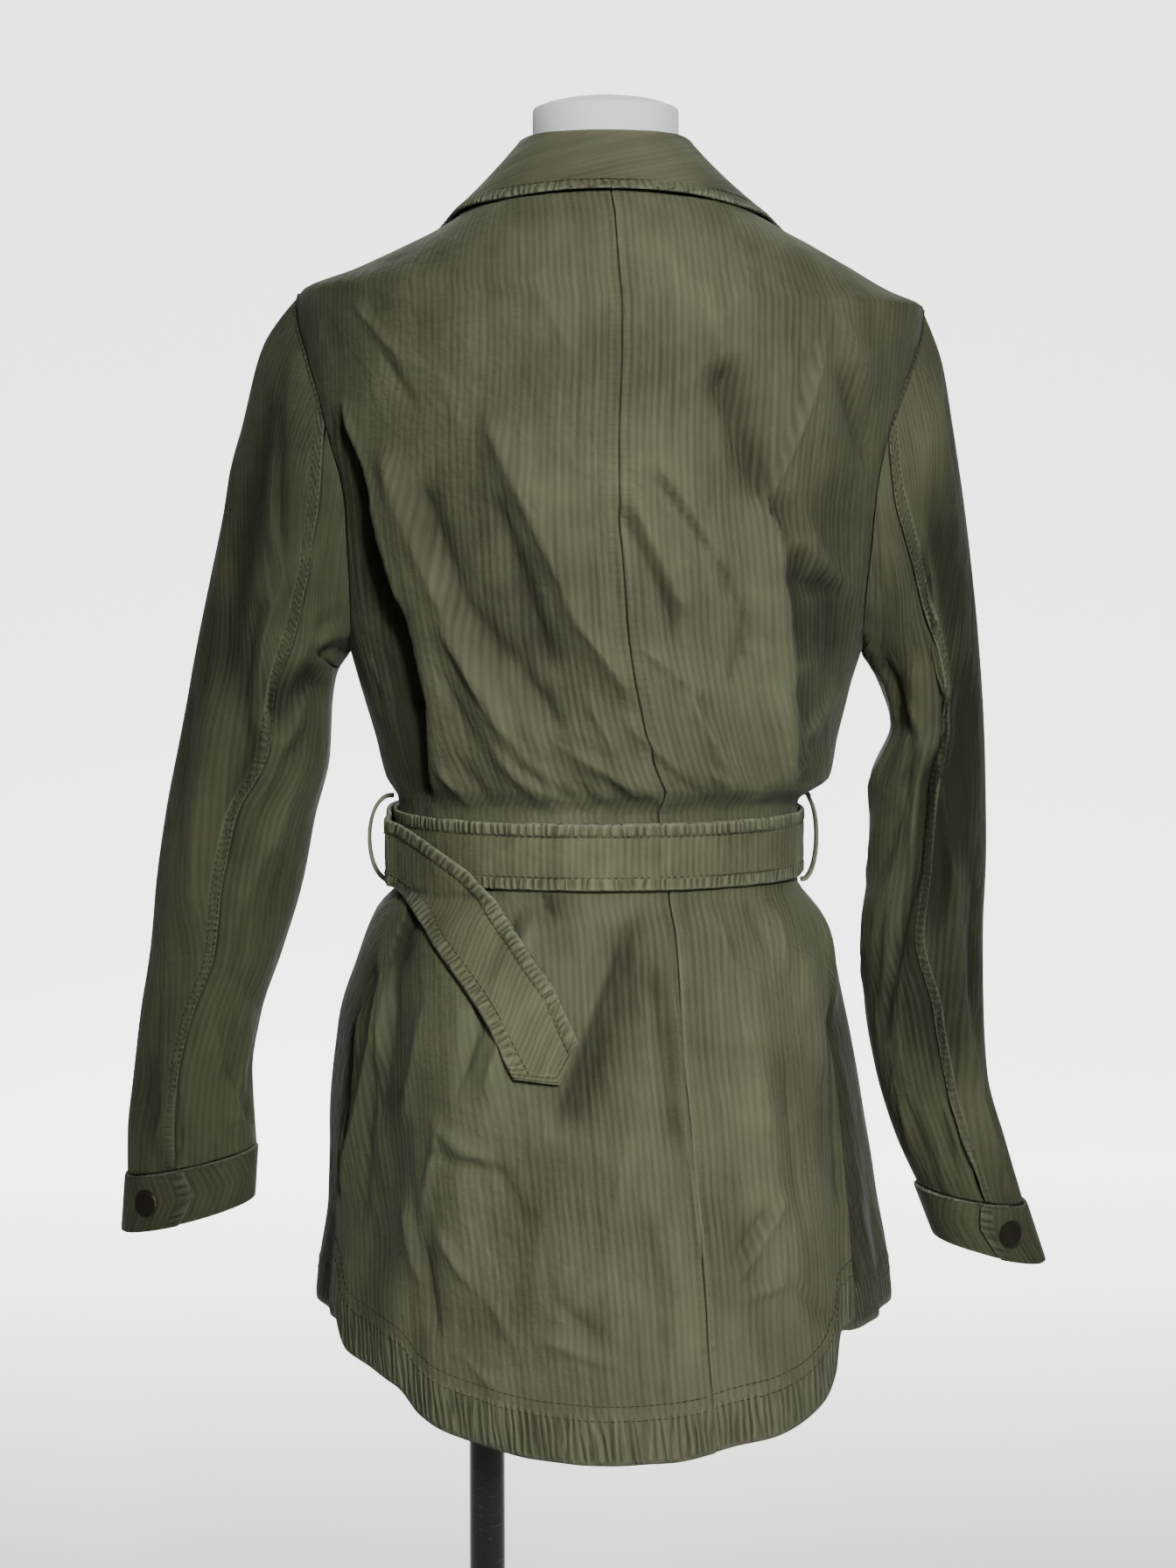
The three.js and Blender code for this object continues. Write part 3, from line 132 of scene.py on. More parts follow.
# Finer creases, which only this cloth has: narrower, and lower.
BACK_CREASES = table(FOLD_COLUMNS, [
    (-135, 1201, -117, 1155, 6, 3), (-117, 1155, -100, 1094, 6, 3), (-52, 1198, -13, 1111, 7, 3),
    (-27, 1164, -6, 1091, 8, 3.5), (-6, 1091, 24, 1049, 8, 3.5), (-49, 1152, -18, 1062, 10, -4),
    (-91, 1159, -67, 1096, 10, -4), (-67, 1096, -13, 1028, 12, -4), (-111, 1179, -79, 1103, 9, 3.5),
    (-79, 1103, -47, 1030, 10, 4), (-47, 1030, -13, 984, 9, 3.5),
    (-76, 1082, -52, 1042, 5, 2.2), (-79, 1057, -62, 1018, 5, -2), (-39, 1061, -27, 1015, 5, 2.2),
    (-79, 1000, -61, 972, 5, 2.8), (-67, 1003, -50, 972, 5, -2.4), (-49, 1012, -12, 972, 6, 3),
    (-33, 1003, 6, 974, 6, -2.6), (3, 1042, 19, 1012, 5, 2.4), (-6, 1013, 33, 986, 6, 2.6),
    (11, 999, 38, 974, 5, -2.2), (-128, 1264, -103, 1234, 6, 1.8), (-39, 1274, -18, 1280, 6, 1.4),
    (-115, 1237, -94, 1203, 7, -1.8), (-23, 1271, -8, 1237, 7, 1.4), (-79, 1223, -67, 1189, 7, 1.4),
    (133, 1240, 124, 1213, 4, 3.5), (124, 1213, 102, 1152, 4, 4.5), (128, 1237, 104, 1159, 9, -3),
    (75, 1225, 102, 1152, 13, -5), (41, 1164, 72, 1122, 5, -2.6), (72, 1122, 90, 1082, 5, -2.8),
    (90, 1082, 84, 1052, 5, -2.2), (45, 1169, 79, 1115, 6, 2.4), (20, 1149, 48, 1091, 6, -2.8),
    (48, 1091, 51, 1076, 5, -2.4), (28, 1154, 57, 1091, 6, 2.6), (60, 1042, 90, 988, 6, 2.8),
    (66, 1045, 72, 1027, 4, -2), (72, 1000, 90, 984, 4, 2.2), (36, 1069, 65, 1047, 5, 2),
    (26, 1028, 60, 994, 6, 2.4), (36, 1013, 79, 977, 6, -2.6), (102, 1145, 154, 1103, 8, 2.6),
    (112, 1110, 145, 1103, 8, -3.2), (142, 1228, 163, 1176, 7, -3), (143, 1257, 162, 1218, 7, 2.2),
    (121, 1145, 143, 1111, 6, 2), (109, 1042, 116, 994, 5, 2.2), (123, 1052, 135, 1003, 6, -2.4),
    (94, 1286, 79, 1252, 7, 1.6), (65, 1271, 79, 1227, 7, 1.5), (45, 1305, 50, 1271, 8, 1.1),
    (128, 1013, 150, 1042, 6, 2.4), (116, 991, 133, 1008, 5, 2), (31, 994, 55, 974, 5, 2.2),
    (-1, 991, 16, 972, 4, -2),
    (-23, 935, -52, 823, 6, 3.5), (-33, 935, -67, 828, 7, -3.5), (-15, 933, -19, 921, 4, -3),
    (-8, 933, 11, 916, 5, 2.2), (33, 926, -13, 804, 11, -4.5), (16, 896, -23, 789, 9, 3.5),
    (48, 930, 50, 872, 4, 2.4), (50, 872, 56, 804, 5, 3.6), (56, 804, 65, 731, 5, 3.4),
    (39, 887, 49, 789, 8, -3.2), (70, 930, 84, 891, 6, 2.2), (89, 933, 104, 901, 6, -2),
    (109, 930, 116, 891, 6, 2.2), (-86, 804, -67, 789, 5, 2.6), (-67, 789, -50, 783, 4, 2.6),
    (-86, 784, -52, 777, 5, -2.4), (-81, 799, -91, 750, 6, 2.2), (-50, 783, -33, 750, 6, -2),
    (-20, 755, -27, 716, 6, 2.6), (-27, 799, -37, 760, 6, 2.2), (-94, 857, -106, 799, 7, 2.2),
    (-111, 887, -120, 799, 6, -2.6), (-81, 740, -62, 711, 6, 2.2), (-91, 731, -84, 682, 6, -2.8),
    (-103, 750, -94, 711, 7, 2.4), (-23, 682, 16, 670, 6, 2.6), (-13, 702, 11, 680, 7, -2.4),
    (16, 719, -13, 692, 6, 2.2), (-3, 736, -13, 711, 5, 2.4), (111, 758, 89, 716, 5, 2.8),
    (104, 753, 87, 726, 5, -2.4), (94, 704, 116, 711, 5, 2), (116, 711, 143, 680, 7, -2),
    (89, 857, 104, 799, 8, 2), (113, 823, 123, 750, 8, -2), (75, 823, 89, 750, 9, 1.8),
    (128, 896, 138, 823, 8, 1.8), (-52, 702, -33, 672, 7, 2), (-72, 672, -52, 653, 6, 1.8),
    (36, 750, 45, 672, 8, -2), (26, 799, 16, 740, 8, 2.2), (-130, 857, -140, 750, 5, 2.6),
    (-137, 857, -144, 750, 4, -2.6), (-123, 848, -130, 740, 5, -2.4), (-115, 877, -123, 828, 5, 2.2),
    (138, 926, 152, 857, 5, 2.4), (145, 857, 148, 750, 5, -2.6),
])
FRONT_CREASES = table(FOLD_COLUMNS, [
    (-40, 1190, -60, 1120, 8, 1.6), (70, 1190, 92, 1120, 8, 1.6), (-84, 1060, -66, 1000, 7, 2.0),
    (112, 1060, 94, 1000, 7, 2.0), (-36, 1030, -44, 984, 6, -1.8), (56, 1030, 64, 984, 6, -1.8),
    (-100, 1150, -80, 1080, 8, -1.6), (124, 1150, 104, 1080, 8, -1.6), (-30, 920, -36, 860, 6, 2.0),
    (50, 920, 58, 860, 6, 2.0), (-80, 914, -92, 850, 6, -2.0), (96, 914, 110, 850, 6, -2.0),
    (-60, 1230, -84, 1180, 8, 1.4), (88, 1230, 110, 1180, 8, 1.4), (30, 760, 60, 700, 9, 1.5),
    (-20, 800, -46, 720, 9, 1.6),
])
# Overhanging folds: the cloth drops by height on the side beyond the line, then comes back.
BACK_STEPS = table("x0 z0 x1 z1 width height side", [
    (-135, 1203, -117, 1155, 20, 8, -1), (-117, 1155, -100, 1094, 22, 12, -1),
    (-100, 1094, -88, 1040, 22, 13, -1), (-88, 1040, -87, 984, 20, 12, -1),
    (102, 1152, 110, 1128, 12, 5, 1), (110, 1128, 118, 1060, 14, 5, 1), (118, 1060, 120, 990, 12, 4, 1),
    (-100, 925, -115, 886, 10, 7, 1), (-120, 880, -136, 780, 10, 4, -1), (-24, 930, -18, 916, 6, 6, 1),
])

SLEEVE_COLUMNS = "at outX outZ inX inZ back front middle seam"
SLEEVE = {
    "left": table(SLEEVE_COLUMNS, [
        (0, -166, 1274, -138, 1064, 56, 62, 2, 75), (1, -188, 1245, -140, 1061, 58, 60, 3, 98),
        (2, -200, 1203, -143, 1057, 56, 56, 4, 112), (3, -214, 1141, -147, 1050, 52, 52, 5, 114),
        (4, -229, 1074, -150, 1034, 48, 47, 6, 109), (5, -241, 1014, -152, 1000, 45, 44, 7, 106),
        (6, -250.5, 968, -161, 964, 42, 42, 8, 92), (7, -257, 926, -169, 924, 40, 40, 9, 90),
        (8, -261.5, 884, -182, 882, 37, 37, 10, 94), (9, -268, 845, -195, 844, 35, 35, 10, 87),
        (10, -273, 806, -201, 808, 33, 33, 10, 82), (11, -277, 772, -200, 782, 32, 32, 10, 81),
        (12, -277.5, 746.7, -199, 763.7, 30, 31, 10, 80),
    ]),
    "right": table(SLEEVE_COLUMNS, [
        (0, 199, 1265, 165, 1064, 56, 62, 2, 75), (1, 211, 1235, 166, 1061, 58, 60, 3, 92),
        (2, 218, 1196, 168, 1058, 56, 56, 4, 98), (3, 227, 1139, 171, 1054, 52, 52, 5, 96),
        (4, 235, 1072, 178, 1040, 48, 47, 6, 88), (5, 239, 1024, 184, 1018, 45, 44, 7, 92),
        (6, 241, 984, 172, 984, 43, 42, 8, 96), (7, 242, 940, 172, 938, 41, 40, 9, 102),
        (8, 241, 897, 168, 897, 39, 38, 10, 104), (9, 242, 852, 170, 852, 37, 36, 11, 88),
        (10, 245, 808, 177, 810, 34, 34, 11, 83), (11, 256.5, 766, 190, 768, 32, 32, 11, 81),
        (12, 267.8, 728.8, 203, 739.8, 30, 31, 11, 80),
    ]),
}
SLEEVE_JOIN = 2.2
FRONT_SLEEVE_SEAM = -90.0
CREASE_COLUMNS = "at0 angle0 at1 angle1 width height"
SLEEVE_FOLDS = {
    "left": table(CREASE_COLUMNS, [
        (0.5, 45, 4.6, 66, 13, -6), (3.4, 150, 4.6, 100, 12, -8), (4.2, 60, 7.6, 70, 13, 6),
        (5, -60, 8, -80, 14, -6), (9.5, 40, 11.8, 60, 11, -4),
    ]),
    "right": table(CREASE_COLUMNS, [
        (0.6, 50, 3.2, 48, 12, 5), (4.2, 60, 8, 88, 13, -8), (3.6, 110, 5.6, 130, 12, 7),
        (5, -60, 8, -80, 14, -6), (9.4, 60, 11.6, 50, 11, 5),
    ]),
}
INNER_CREASES = [
    (5, -120, 6.4, -60, 7, 2.4), (3.4, -150, 4.8, -80, 7, 2.6), (7, -110, 9, -50, 7, -2),
    (9.6, -60, 11.4, -100, 6, 1.8), (2, -140, 4, -70, 8, 2.2), (6, -140, 8, -100, 8, -2.2),
]
SLEEVE_CREASES = {
    "left": table(CREASE_COLUMNS, [
        (0.48, 39, 2.17, 91, 8, -3), (0.75, 38, 2.43, 83, 8, 2), (1.36, 106, 2.93, 93, 5, 4),
        (2.93, 93, 3.57, 90, 5, 4.5), (3.57, 90, 4.18, 93, 5, 4.5), (4.18, 93, 4.72, 105, 5, 4),
        (3.2, 82, 3.78, 80, 7, -5), (3.78, 80, 4.43, 83, 8, -5), (4.43, 83, 4.96, 94, 7, -4.5),
        (4.96, 94, 5.65, 87, 8, -4), (5.65, 87, 6.55, 90, 8, -3), (0, 157, 2.84, 133, 4, 4),
        (0.92, 162, 2.85, 141, 3, -5), (2.85, 141, 2.47, 176, 3, -5), (0.96, 133, 3.65, 122, 8, 3.5),
        (0, 139, 2.47, 128, 5, -3), (3.65, 122, 4.47, 117, 8, 3), (3.71, 144, 5.01, 114, 7, 3.5),
        (4.61, 138, 5.13, 115, 5, -3), (5.13, 113, 6.32, 100, 7, 4), (5.34, 132, 6.53, 126, 8, 2.5),
        (6.31, 120, 7.32, 108, 6, 2.5), (6.3, 140, 7.42, 136, 8, -2.5), (8.09, 108, 9.05, 176, 7, -2),
        (6.99, 101, 8.09, 108, 7, 2.2), (9.23, 176, 11.17, 158, 4, -3.5),
        (9.29, 156, 10.94, 144, 5, 2.5), (9.79, 134, 11.47, 175, 4, -2.5),
        (8.57, 102, 9.79, 125, 6, 1.8), (4.44, 24, 6.34, 48, 10, -2.5), (6.35, 39, 8.59, 57, 10, 2),
        (8.59, 48, 10.89, 62, 9, -2), (5.25, 58, 7.44, 72, 9, 2), (3.54, 30, 4.55, 48, 9, -2),
        (2.32, 12, 3.49, 40, 10, 2), (10.59, 67, 11.49, 57, 5, 2), (10.8, 90, 11.7, 79, 4, -2),
        (10.7, 118, 11.58, 113, 4, 2), (11.12, 136, 12, 130, 4, -2), *INNER_CREASES,
    ]),
    "right": table(CREASE_COLUMNS, [
        (2.19, 89, 3.49, 90, 4, -4), (2.66, 83, 3.44, 85, 4, 3.5), (3.49, 90, 4.32, 88, 5, 4.5),
        (4.2, 87, 4.59, 86, 5, 4.5), (4.59, 86, 5.61, 96, 7, -8), (5.61, 96, 6.49, 102, 8, -9),
        (6.49, 102, 7.32, 110, 8, -8), (7.32, 110, 8.3, 122, 8, -7), (8.3, 122, 9.45, 143, 7, -5),
        (1.47, 154, 4.49, 154, 6, 3.5), (4.49, 154, 5.6, 160, 7, 4), (5.6, 160, 6.3, 176, 7, 3),
        (3.15, 147, 5.06, 128, 5, -3.5), (5.06, 128, 6.09, 117, 6, -3), (0, 157, 3.75, 165, 4, 3),
        (0, 174, 2.69, 160, 3, -3), (4.41, 127, 5.61, 106, 6, 3), (6.49, 160, 7.31, 176, 8, 3),
        (6.49, 128, 7.31, 153, 7, -2.5), (5.86, 108, 6.69, 114, 6, 3), (7.54, 167, 8.81, 176, 8, 2.2),
        (7.77, 138, 9.01, 151, 6, -2.5), (5.09, 98, 7.33, 67, 8, 5), (7.33, 67, 8.81, 58, 8, 5),
        (8.81, 58, 10.28, 52, 8, 4.5), (10.28, 52, 11.57, 50, 8, 4.5), (5.13, 62, 7.34, 47, 8, -2.5),
        (7.34, 43, 9.01, 45, 7, -2.5), (10.17, 28, 11.45, 36, 6, -2.5), (10.51, 93, 11.31, 98, 6, -3.5),
        (10.72, 78, 11.63, 83, 5, 3), (10.52, 125, 11.33, 126, 5, -3), (10.31, 135, 11.23, 145, 5, 3),
        (1.68, 59, 2.75, 68, 8, 2), (1.15, 33, 2.81, 44, 8, -2), (0, 92, 1.21, 122, 8, 2.2),
        (0.23, 96, 2.5, 103, 7, -2.2), (10.95, 47, 11.63, 52, 4, 2.2), *INNER_CREASES,
    ]),
}
# Where the right sleeve's back turns away into its outer strip, which is darkened with painted shade.
RIDGE = table("at angle", [
    (0, 84), (3, 84), (4.5, 85), (5.6, 95), (6.5, 101), (7.3, 108), (8.3, 118), (9.5, 122), (12, 122),
])
SLEEVE_STEP = 42.0
SLEEVE_TURN = 0.8
SLEEVE_END = 12.0
SLEEVE_BAND = 7.5
SLEEVE_ROWS = (SLEEVE_BAND - 1.3, 1.5)

RING_COLUMNS = "at outX outZ inX inZ back front middle"
CUFF = {
    "left": table(RING_COLUMNS, [
        (0, -280, 711, -201, 731, 31, 31, 9), (1, -277.5, 746, -199, 763, 30, 31, 10),
    ]),
    "right": table(RING_COLUMNS, [
        (0, 280, 692, 215, 708, 31, 31, 10), (1, 268, 728, 203, 739, 30, 31, 11),
    ]),
}
CUFF_TAB_ANGLE = {"left": 86.0, "right": 84.0}
CUFF_TAB_TIP = 12.0
CUFF_UNDERLAP = 34.0
CUFF_HEIGHT = 35.0
CUFF_LENGTH = 210.0
CUFF_ROWS = (0.16, 0.84)

COLLAR = table("angle foldReach foldZ edgeZ", [
    (0, 50, 1363, 1326), (50, 47, 1363, 1321.5), (90, 45.5, 1358.5, 1314),
    (125, 49, 1344, 1291), (155, 55, 1327, 1262), (172, 58, 1321, 1271),
])
COLLAR_CENTRE_X = 13.0
COLLAR_ROLL = 3.4
COLLAR_END = 171.0
COLLAR_FALL = 48.0
COLLAR_ROW = 6.3
COLLAR_INSET = 6.0

TAIL = table("at angle z tilt", [
    (0, -172, 951.5, 0), (1, -150, 951.5, 0), (2, -120, 951, 0), (3, -94, 950.5, 4), (4, -71, 947, 21),
    (5, -47.5, 933, 38), (6, -32, 912, 48), (7, -20.5, 890, 54), (8, -13, 866, 59), (9, -8, 840, 61),
])
TAIL_HALF_WIDTH = 20.6
TAIL_TIP = 15.0
TAIL_BRIDGE = 0.42
BELT_GAP_ANGLE = 176.0
BELT_WIDTH = 39.0
BELT_ROW = 7.8
BELT_LENGTH = 700.0
TAIL_LENGTH = 330.0
TAIL_STEPS = 9
BELT_LOOP_REACH = {"left": 19.0, "right": 13.0}
BELT_LOOP_ANGLE = {"left": -88.0, "right": 92.0}
BELT_LOOP_HALF_WIDTH = 5.0

POCKET = {"near": 105, "far": 145, "bottom": 694, "top": 786}
FLAP = {"near": 104, "far": 147, "bottom": 743, "top": 796, "point": 8}
POCKET_CLOTH = 1.3
POCKET_WIDTH = 95.0

FORM_NECK = {"x": 13.0, "half_width": 43.4, "half_depth": 45.0, "bottom": 1335.0, "top": 1388.0}
BACKDROP_Y, BACKDROP_HALF = 3.2, 1.7
CAMERA_X = 0.0026


def read(rows, key, column, value):
    """Smooth reading of one column at an array of values, never past the rows."""
    keys, heights = rows[key], rows[column]
    value = np.clip(np.asarray(value, float), keys[0], keys[-1])
    slopes = np.diff(heights) / np.diff(keys)
    tangents = np.zeros(len(keys))
    before, after = slopes[:-1], slopes[1:]
    same = before * after > 0
    tangents[1:-1][same] = (2 * before * after / np.where(same, before + after, 1))[same]
    i = np.clip(np.searchsorted(keys, value, side="right") - 1, 0, len(keys) - 2)
    span = keys[i + 1] - keys[i]
    t = (value - keys[i]) / span
    rise = t * t * (3 - 2 * t)
    ease = t * (1 - t)
    bend = (1 - t) * tangents[i] - t * tangents[i + 1]
    return heights[i] + (heights[i + 1] - heights[i]) * rise + span * ease * bend


def smooth(t):
    s = np.clip(t, 0.0, 1.0)
    return s * s * (3 - 2 * s)


def mix(a, b, t):
    return a + (b - a) * t


def power(value):
    return np.sign(value) * np.abs(value) ** SQUARENESS


def points(x, y, z):
    return np.stack(np.broadcast_arrays(x, y, z), axis=-1).astype(float)


def across_line(row, x, y):
    """Distances along and across one fold's line, and its length."""
    dx, dy = row[2] - row[0], row[3] - row[1]
    length = math.hypot(dx, dy)
    along = ((x - row[0]) * dx + (y - row[1]) * dy) / length
    across = ((x - row[0]) * dy - (y - row[1]) * dx) / length
    return along, across, length


def fold_sum(rows, x, y, sharp=False):
    """Heights of all the folds of a table at the places x, y, with soft crests or pinched ones."""
    total = np.zeros(np.shape(x))
    for row in np.column_stack(list(rows.values())):
        along, across, length = across_line(row, x, y)
        fade, start = (20.0, 0.5) if sharp else (length * 0.3, 0.3)
        ends = smooth(along / fade + start) * smooth((length - along) / fade + start)
        side = (across / row[4]) ** 2
        total += row[5] * ends * (np.exp(-2.0 * (np.sqrt(side + 0.05) - 0.2236)) if sharp else np.exp(-side))
    return total


def step_sum(rows, x, y):
    """Depths of overhanging folds: a quick drop beyond each line and a slow return."""
    total = np.zeros(np.shape(x))
    for row in np.column_stack(list(rows.values())):
        along, across, length = across_line(row, x, y)
        ends = smooth(along / 10 + 0.5) * smooth((length - along) / 10 + 0.5)
        beyond = np.maximum(across * row[6] * -1, 0)
        drop = (1 - np.exp(-beyond / 1.8)) * np.exp(-((beyond / row[4]) ** 2.5))
        total -= row[5] * ends * drop
    return total


def fold_shade(rows, x, y):
    """How far the cloth lies in the shade of its overhanging folds: full at the line, fading behind it."""
    total = np.zeros(np.shape(x))
    for row in np.column_stack(list(rows.values())):
        along, across, length = across_line(row, x, y)
        ends = smooth(along / 16 + 0.5) * smooth((length - along) / 16 + 0.5)
        beyond = across * row[6] * -1
        fading = np.exp(-np.maximum(beyond, 0) / (1.1 * row[4]))
        total = np.maximum(total, ends * smooth(beyond / 1.5 + 0.3) * fading)
    return total


def ripple(a, b, seed, scale):
    """A fixed sum of soft waves, about -1 to 1, for the small unevenness of worn cloth."""
    random = np.random.default_rng(seed)
    total = np.zeros(np.shape(a))
    for _ in range(9):
        turn = random.uniform(-0.9, 0.9)
        pitch = scale * random.uniform(0.6, 1.8)
        phase = random.uniform(0, 2 * math.pi)
        bend = random.uniform(0.3, 0.9) * np.sin(b / (pitch * 2.2) + phase * 1.7)
        total += np.sin((a * math.cos(turn) + b * math.sin(turn) * 0.5) / pitch + phase + bend)
    return total / 4.5


def section(rows, angle, z):
    left, middle, right, back, front = (
        read(rows, "z", key, z) for key in ("left", "middle", "right", "back", "front"))
    turn = np.radians(angle)
    depth = np.where(np.cos(turn) > 0, back, front)
    side = np.where(np.sin(turn) > 0, right - middle, middle - left)
    return points(middle + side * power(np.sin(turn)), -depth * power(np.cos(turn)), z)


def outward_of(angle):
    turn = np.radians(angle)
    return points(np.sin(turn), -np.cos(turn), np.zeros(np.shape(turn)))


def fold_height(angle, z, fine=1.0):
    """How far the body's folds push its cloth out; fine is the share of the creases."""
    place = section(BODY, angle, z)
    x = place[..., 0]
    back = smooth((np.cos(np.radians(angle)) + 0.1) / 0.35)
    calm = smooth(np.abs(z - (BELT_TOP_Z + BELT_BOTTOM_Z) / 2) / FOLD_FADE - 0.8)
    push = back * fold_sum(BACK_FOLDS, x, z) + (1 - back) * fold_sum(FRONT_FOLDS, x, z)
    if np.any(fine):
        small = back * (CREASE_SHARE * fold_sum(BACK_CREASES, x, z, True) + step_sum(BACK_STEPS, x, z))
        small += (1 - back) * fold_sum(FRONT_CREASES, x, z, True)
        small += 0.55 * ripple(x + 0.4 * z, z, 11, 9.0) + 0.4 * ripple(x, z * 0.8, 12, 5.0)
        push = push + fine * small
    return push * calm


def body(angle, z, fine=1.0):
    angle, z = np.broadcast_arrays(np.asarray(angle, float), np.asarray(z, float))
    return section(BODY, angle, z) + fold_height(angle, z, fine)[..., None] * outward_of(angle)


def body_plain(angle, z):
    return body(angle, z, 0.0)


def unit(vectors):
    return vectors / np.maximum(np.linalg.norm(vectors, axis=-1, keepdims=True), 1e-9)


def normal_of(surface, a, b, step_a, step_b):
    along_a = surface(a + step_a, b) - surface(a - step_a, b)
    along_b = surface(a, b + step_b) - surface(a, b - step_b)
    return unit(np.cross(along_a, along_b))


def body_cloth(angle, z, lift=0.0, base=body):
    """Outer points and normals of the body's cloth, lifted along the normals."""
    angle, z = np.broadcast_arrays(np.asarray(angle, float), np.asarray(z, float))
    normal = normal_of(base, angle, z, 0.5, 0.8)
    return base(angle, z) + normal * np.asarray(lift)[..., None], normal


def yoke_height(side, angle):
    aside = 1 - np.abs(np.abs(angle) - 90) / 90
    return mix(SHOULDER_MIDDLE_Z, SHOULDER_Z[side], np.maximum(0, aside))


def neck_height(angle):
    return mix(NECK_BACK_Z, NECK_FRONT_Z, smooth((np.abs(angle) - 90) / 85))


def side_edge(side, face, z):
    sign = -1 if side == "left" else 1
    rise = (z - ARMPIT_Z) / (SHOULDER_Z[side] - ARMPIT_Z)
    bite = np.where((rise > 0) & (rise < 1), read(ARMHOLE, "rise", face, rise), 0)
    seam = np.abs(read(SEAMS, "z", side, z))
    above = 90 - bite if face == "back" else 90 + bite
    return sign * np.where(z <= ARMPIT_Z, seam, above)


def front_lift(side, angle, z):
    turn = np.abs(angle)
    over = PLACKET_LIFT * smooth((turn - 140) / 22) if side == "right" else 0 * turn
    tuck = 6 * smooth((SKIRT_TOP_Z - z) / 60) * smooth((100 - turn) / 25)
    return over - tuck


def seam_turn(z):
    radius = (read(BODY, "z", "right", z) - read(BODY, "z", "left", z)) / 2
    return np.degrees(SEAM_GAP / 2 / radius)


def crowd(t, share, middle=None):
    """Spreads 0 to 1 with more steps near both ends, and near a place between if one is given."""
    fine = np.linspace(0, 1, 801)
    density = 1 / (1 - share * np.cos(2 * math.pi * fine))
    if middle:
        density = density + 1.6 * np.exp(-(((fine - middle) / 0.10) ** 2))
    total = np.concatenate([[0], np.cumsum((density[1:] + density[:-1]) / 2)])
    return np.interp(t, total / total[-1], fine)


def panel_places(side, face, u, v):
    """Angle and height on the body of the panel's places: u from the middle out, v up."""
    sign = -1 if side == "left" else 1
    front = face == "front"
    away = -sign if front else sign
    waist_share, yoke_share = 0.37, 0.9
    skirt_t = np.clip(v / waist_share, 0, 1)
    waist_t = np.clip((v - waist_share) / (0.6 - waist_share), 0, 1)
    arm_t = np.clip((v - 0.6) / (yoke_share - 0.6), 0, 1)
    arm_t = (1 - np.cos(math.pi * arm_t)) / 2
    yoke_t = np.clip((v - yoke_share) / (1 - yoke_share), 0, 1)
    z = mix(640, SKIRT_TOP_Z, skirt_t)
    angle = np.zeros(np.shape(u))
    for _ in range(4):
        yoke = yoke_height(side, angle)
        skirt_z = mix(hem_height(face, angle), SKIRT_TOP_Z, skirt_t)
        z = np.where(v <= waist_share, skirt_z, mix(SKIRT_TOP_Z, ARMPIT_Z, waist_t))
        z = np.where(v > 0.6, mix(ARMPIT_Z, yoke, arm_t), z)
        z = np.where(v > yoke_share, mix(yoke, neck_height(angle), yoke_t), z)
        edge_z = np.where((v > 0.6) & (v <= yoke_share), mix(ARMPIT_Z, SHOULDER_Z[side], arm_t), z)
        per_mm = 2 * seam_turn(z) / SEAM_GAP
        middle = sign * (180 + PLACKET_OVERLAP) if front else read(SEAMS, "z", "centre", z)
        if face == "back" and side == "left":
            middle = middle + UNDERLAP * per_mm
        in_hole = smooth((edge_z - ARMPIT_Z) / 12) * smooth((SHOULDER_Z[side] - edge_z) / 12)
        under = UNDERLAP if front else UNDERLAP * in_hole
        edge = side_edge(side, face, edge_z) + away * under * per_mm
        angle = mix(middle, edge, u)
    return angle, z


def armhole_point(side, angle):
    half = (SHOULDER_Z[side] - ARMPIT_Z) / 2
    z = ARMPIT_Z + half * (1 + np.cos(np.radians(angle)))
    turned = np.sin(np.radians(angle)) >= 0
    edge = np.where(turned, side_edge(side, "back", z), side_edge(side, "front", z))
    place = body_plain(edge, z)
    place[..., 0] += (-1 if side == "left" else 1) * SLEEVE_SEAM_GAP
    return place


def ring_point(rows, at, angle):
    """What a ring of a sleeve or cuff has at a place: its row, the turn, and how far out and back it is."""
    pick = {name: read(rows, "at", name, at) for name in RING_COLUMNS.split()[1:]}
    turn = np.radians(angle)
    across = np.cos(turn)
    depth = np.where(np.sin(turn) > 0, pick["back"], pick["front"])
    share = (across + 1) / 2
    return pick, turn, across, depth, share


def sleeve_ring(side, at, angle):
    pick, turn, _, depth, share = ring_point(SLEEVE[side], at, angle)
    return points(mix(pick["inX"], pick["outX"], share), pick["middle"] - depth * power(np.sin(turn)),
                  mix(pick["inZ"], pick["outZ"], share))


def sleeve_push(side, at, angle, fine=True):
    wrapped = np.where(angle > 200, angle - 360, angle)
    total = 0
    tables = [(SLEEVE_FOLDS[side], False)] + ([(SLEEVE_CREASES[side], True)] if fine else [])
    for rows, sharp in tables:
        scaled = {
            "at0": rows["at0"] * SLEEVE_STEP, "angle0": rows["angle0"] * SLEEVE_TURN,
            "at1": rows["at1"] * SLEEVE_STEP, "angle1": rows["angle1"] * SLEEVE_TURN,
            "width": rows["width"], "height": rows["height"],
        }
        total = total + fold_sum(scaled, at * SLEEVE_STEP, wrapped * SLEEVE_TURN, sharp)
    if fine:
        seed = 21 if side == "left" else 22
        uneven = ripple(wrapped * SLEEVE_TURN, at * SLEEVE_STEP, seed, 7.0)
        total = total + 0.6 * uneven * np.sin(np.radians(angle)) ** 2
    return total * smooth(at / 1.5) * smooth((SLEEVE_END - at) / 1.2)


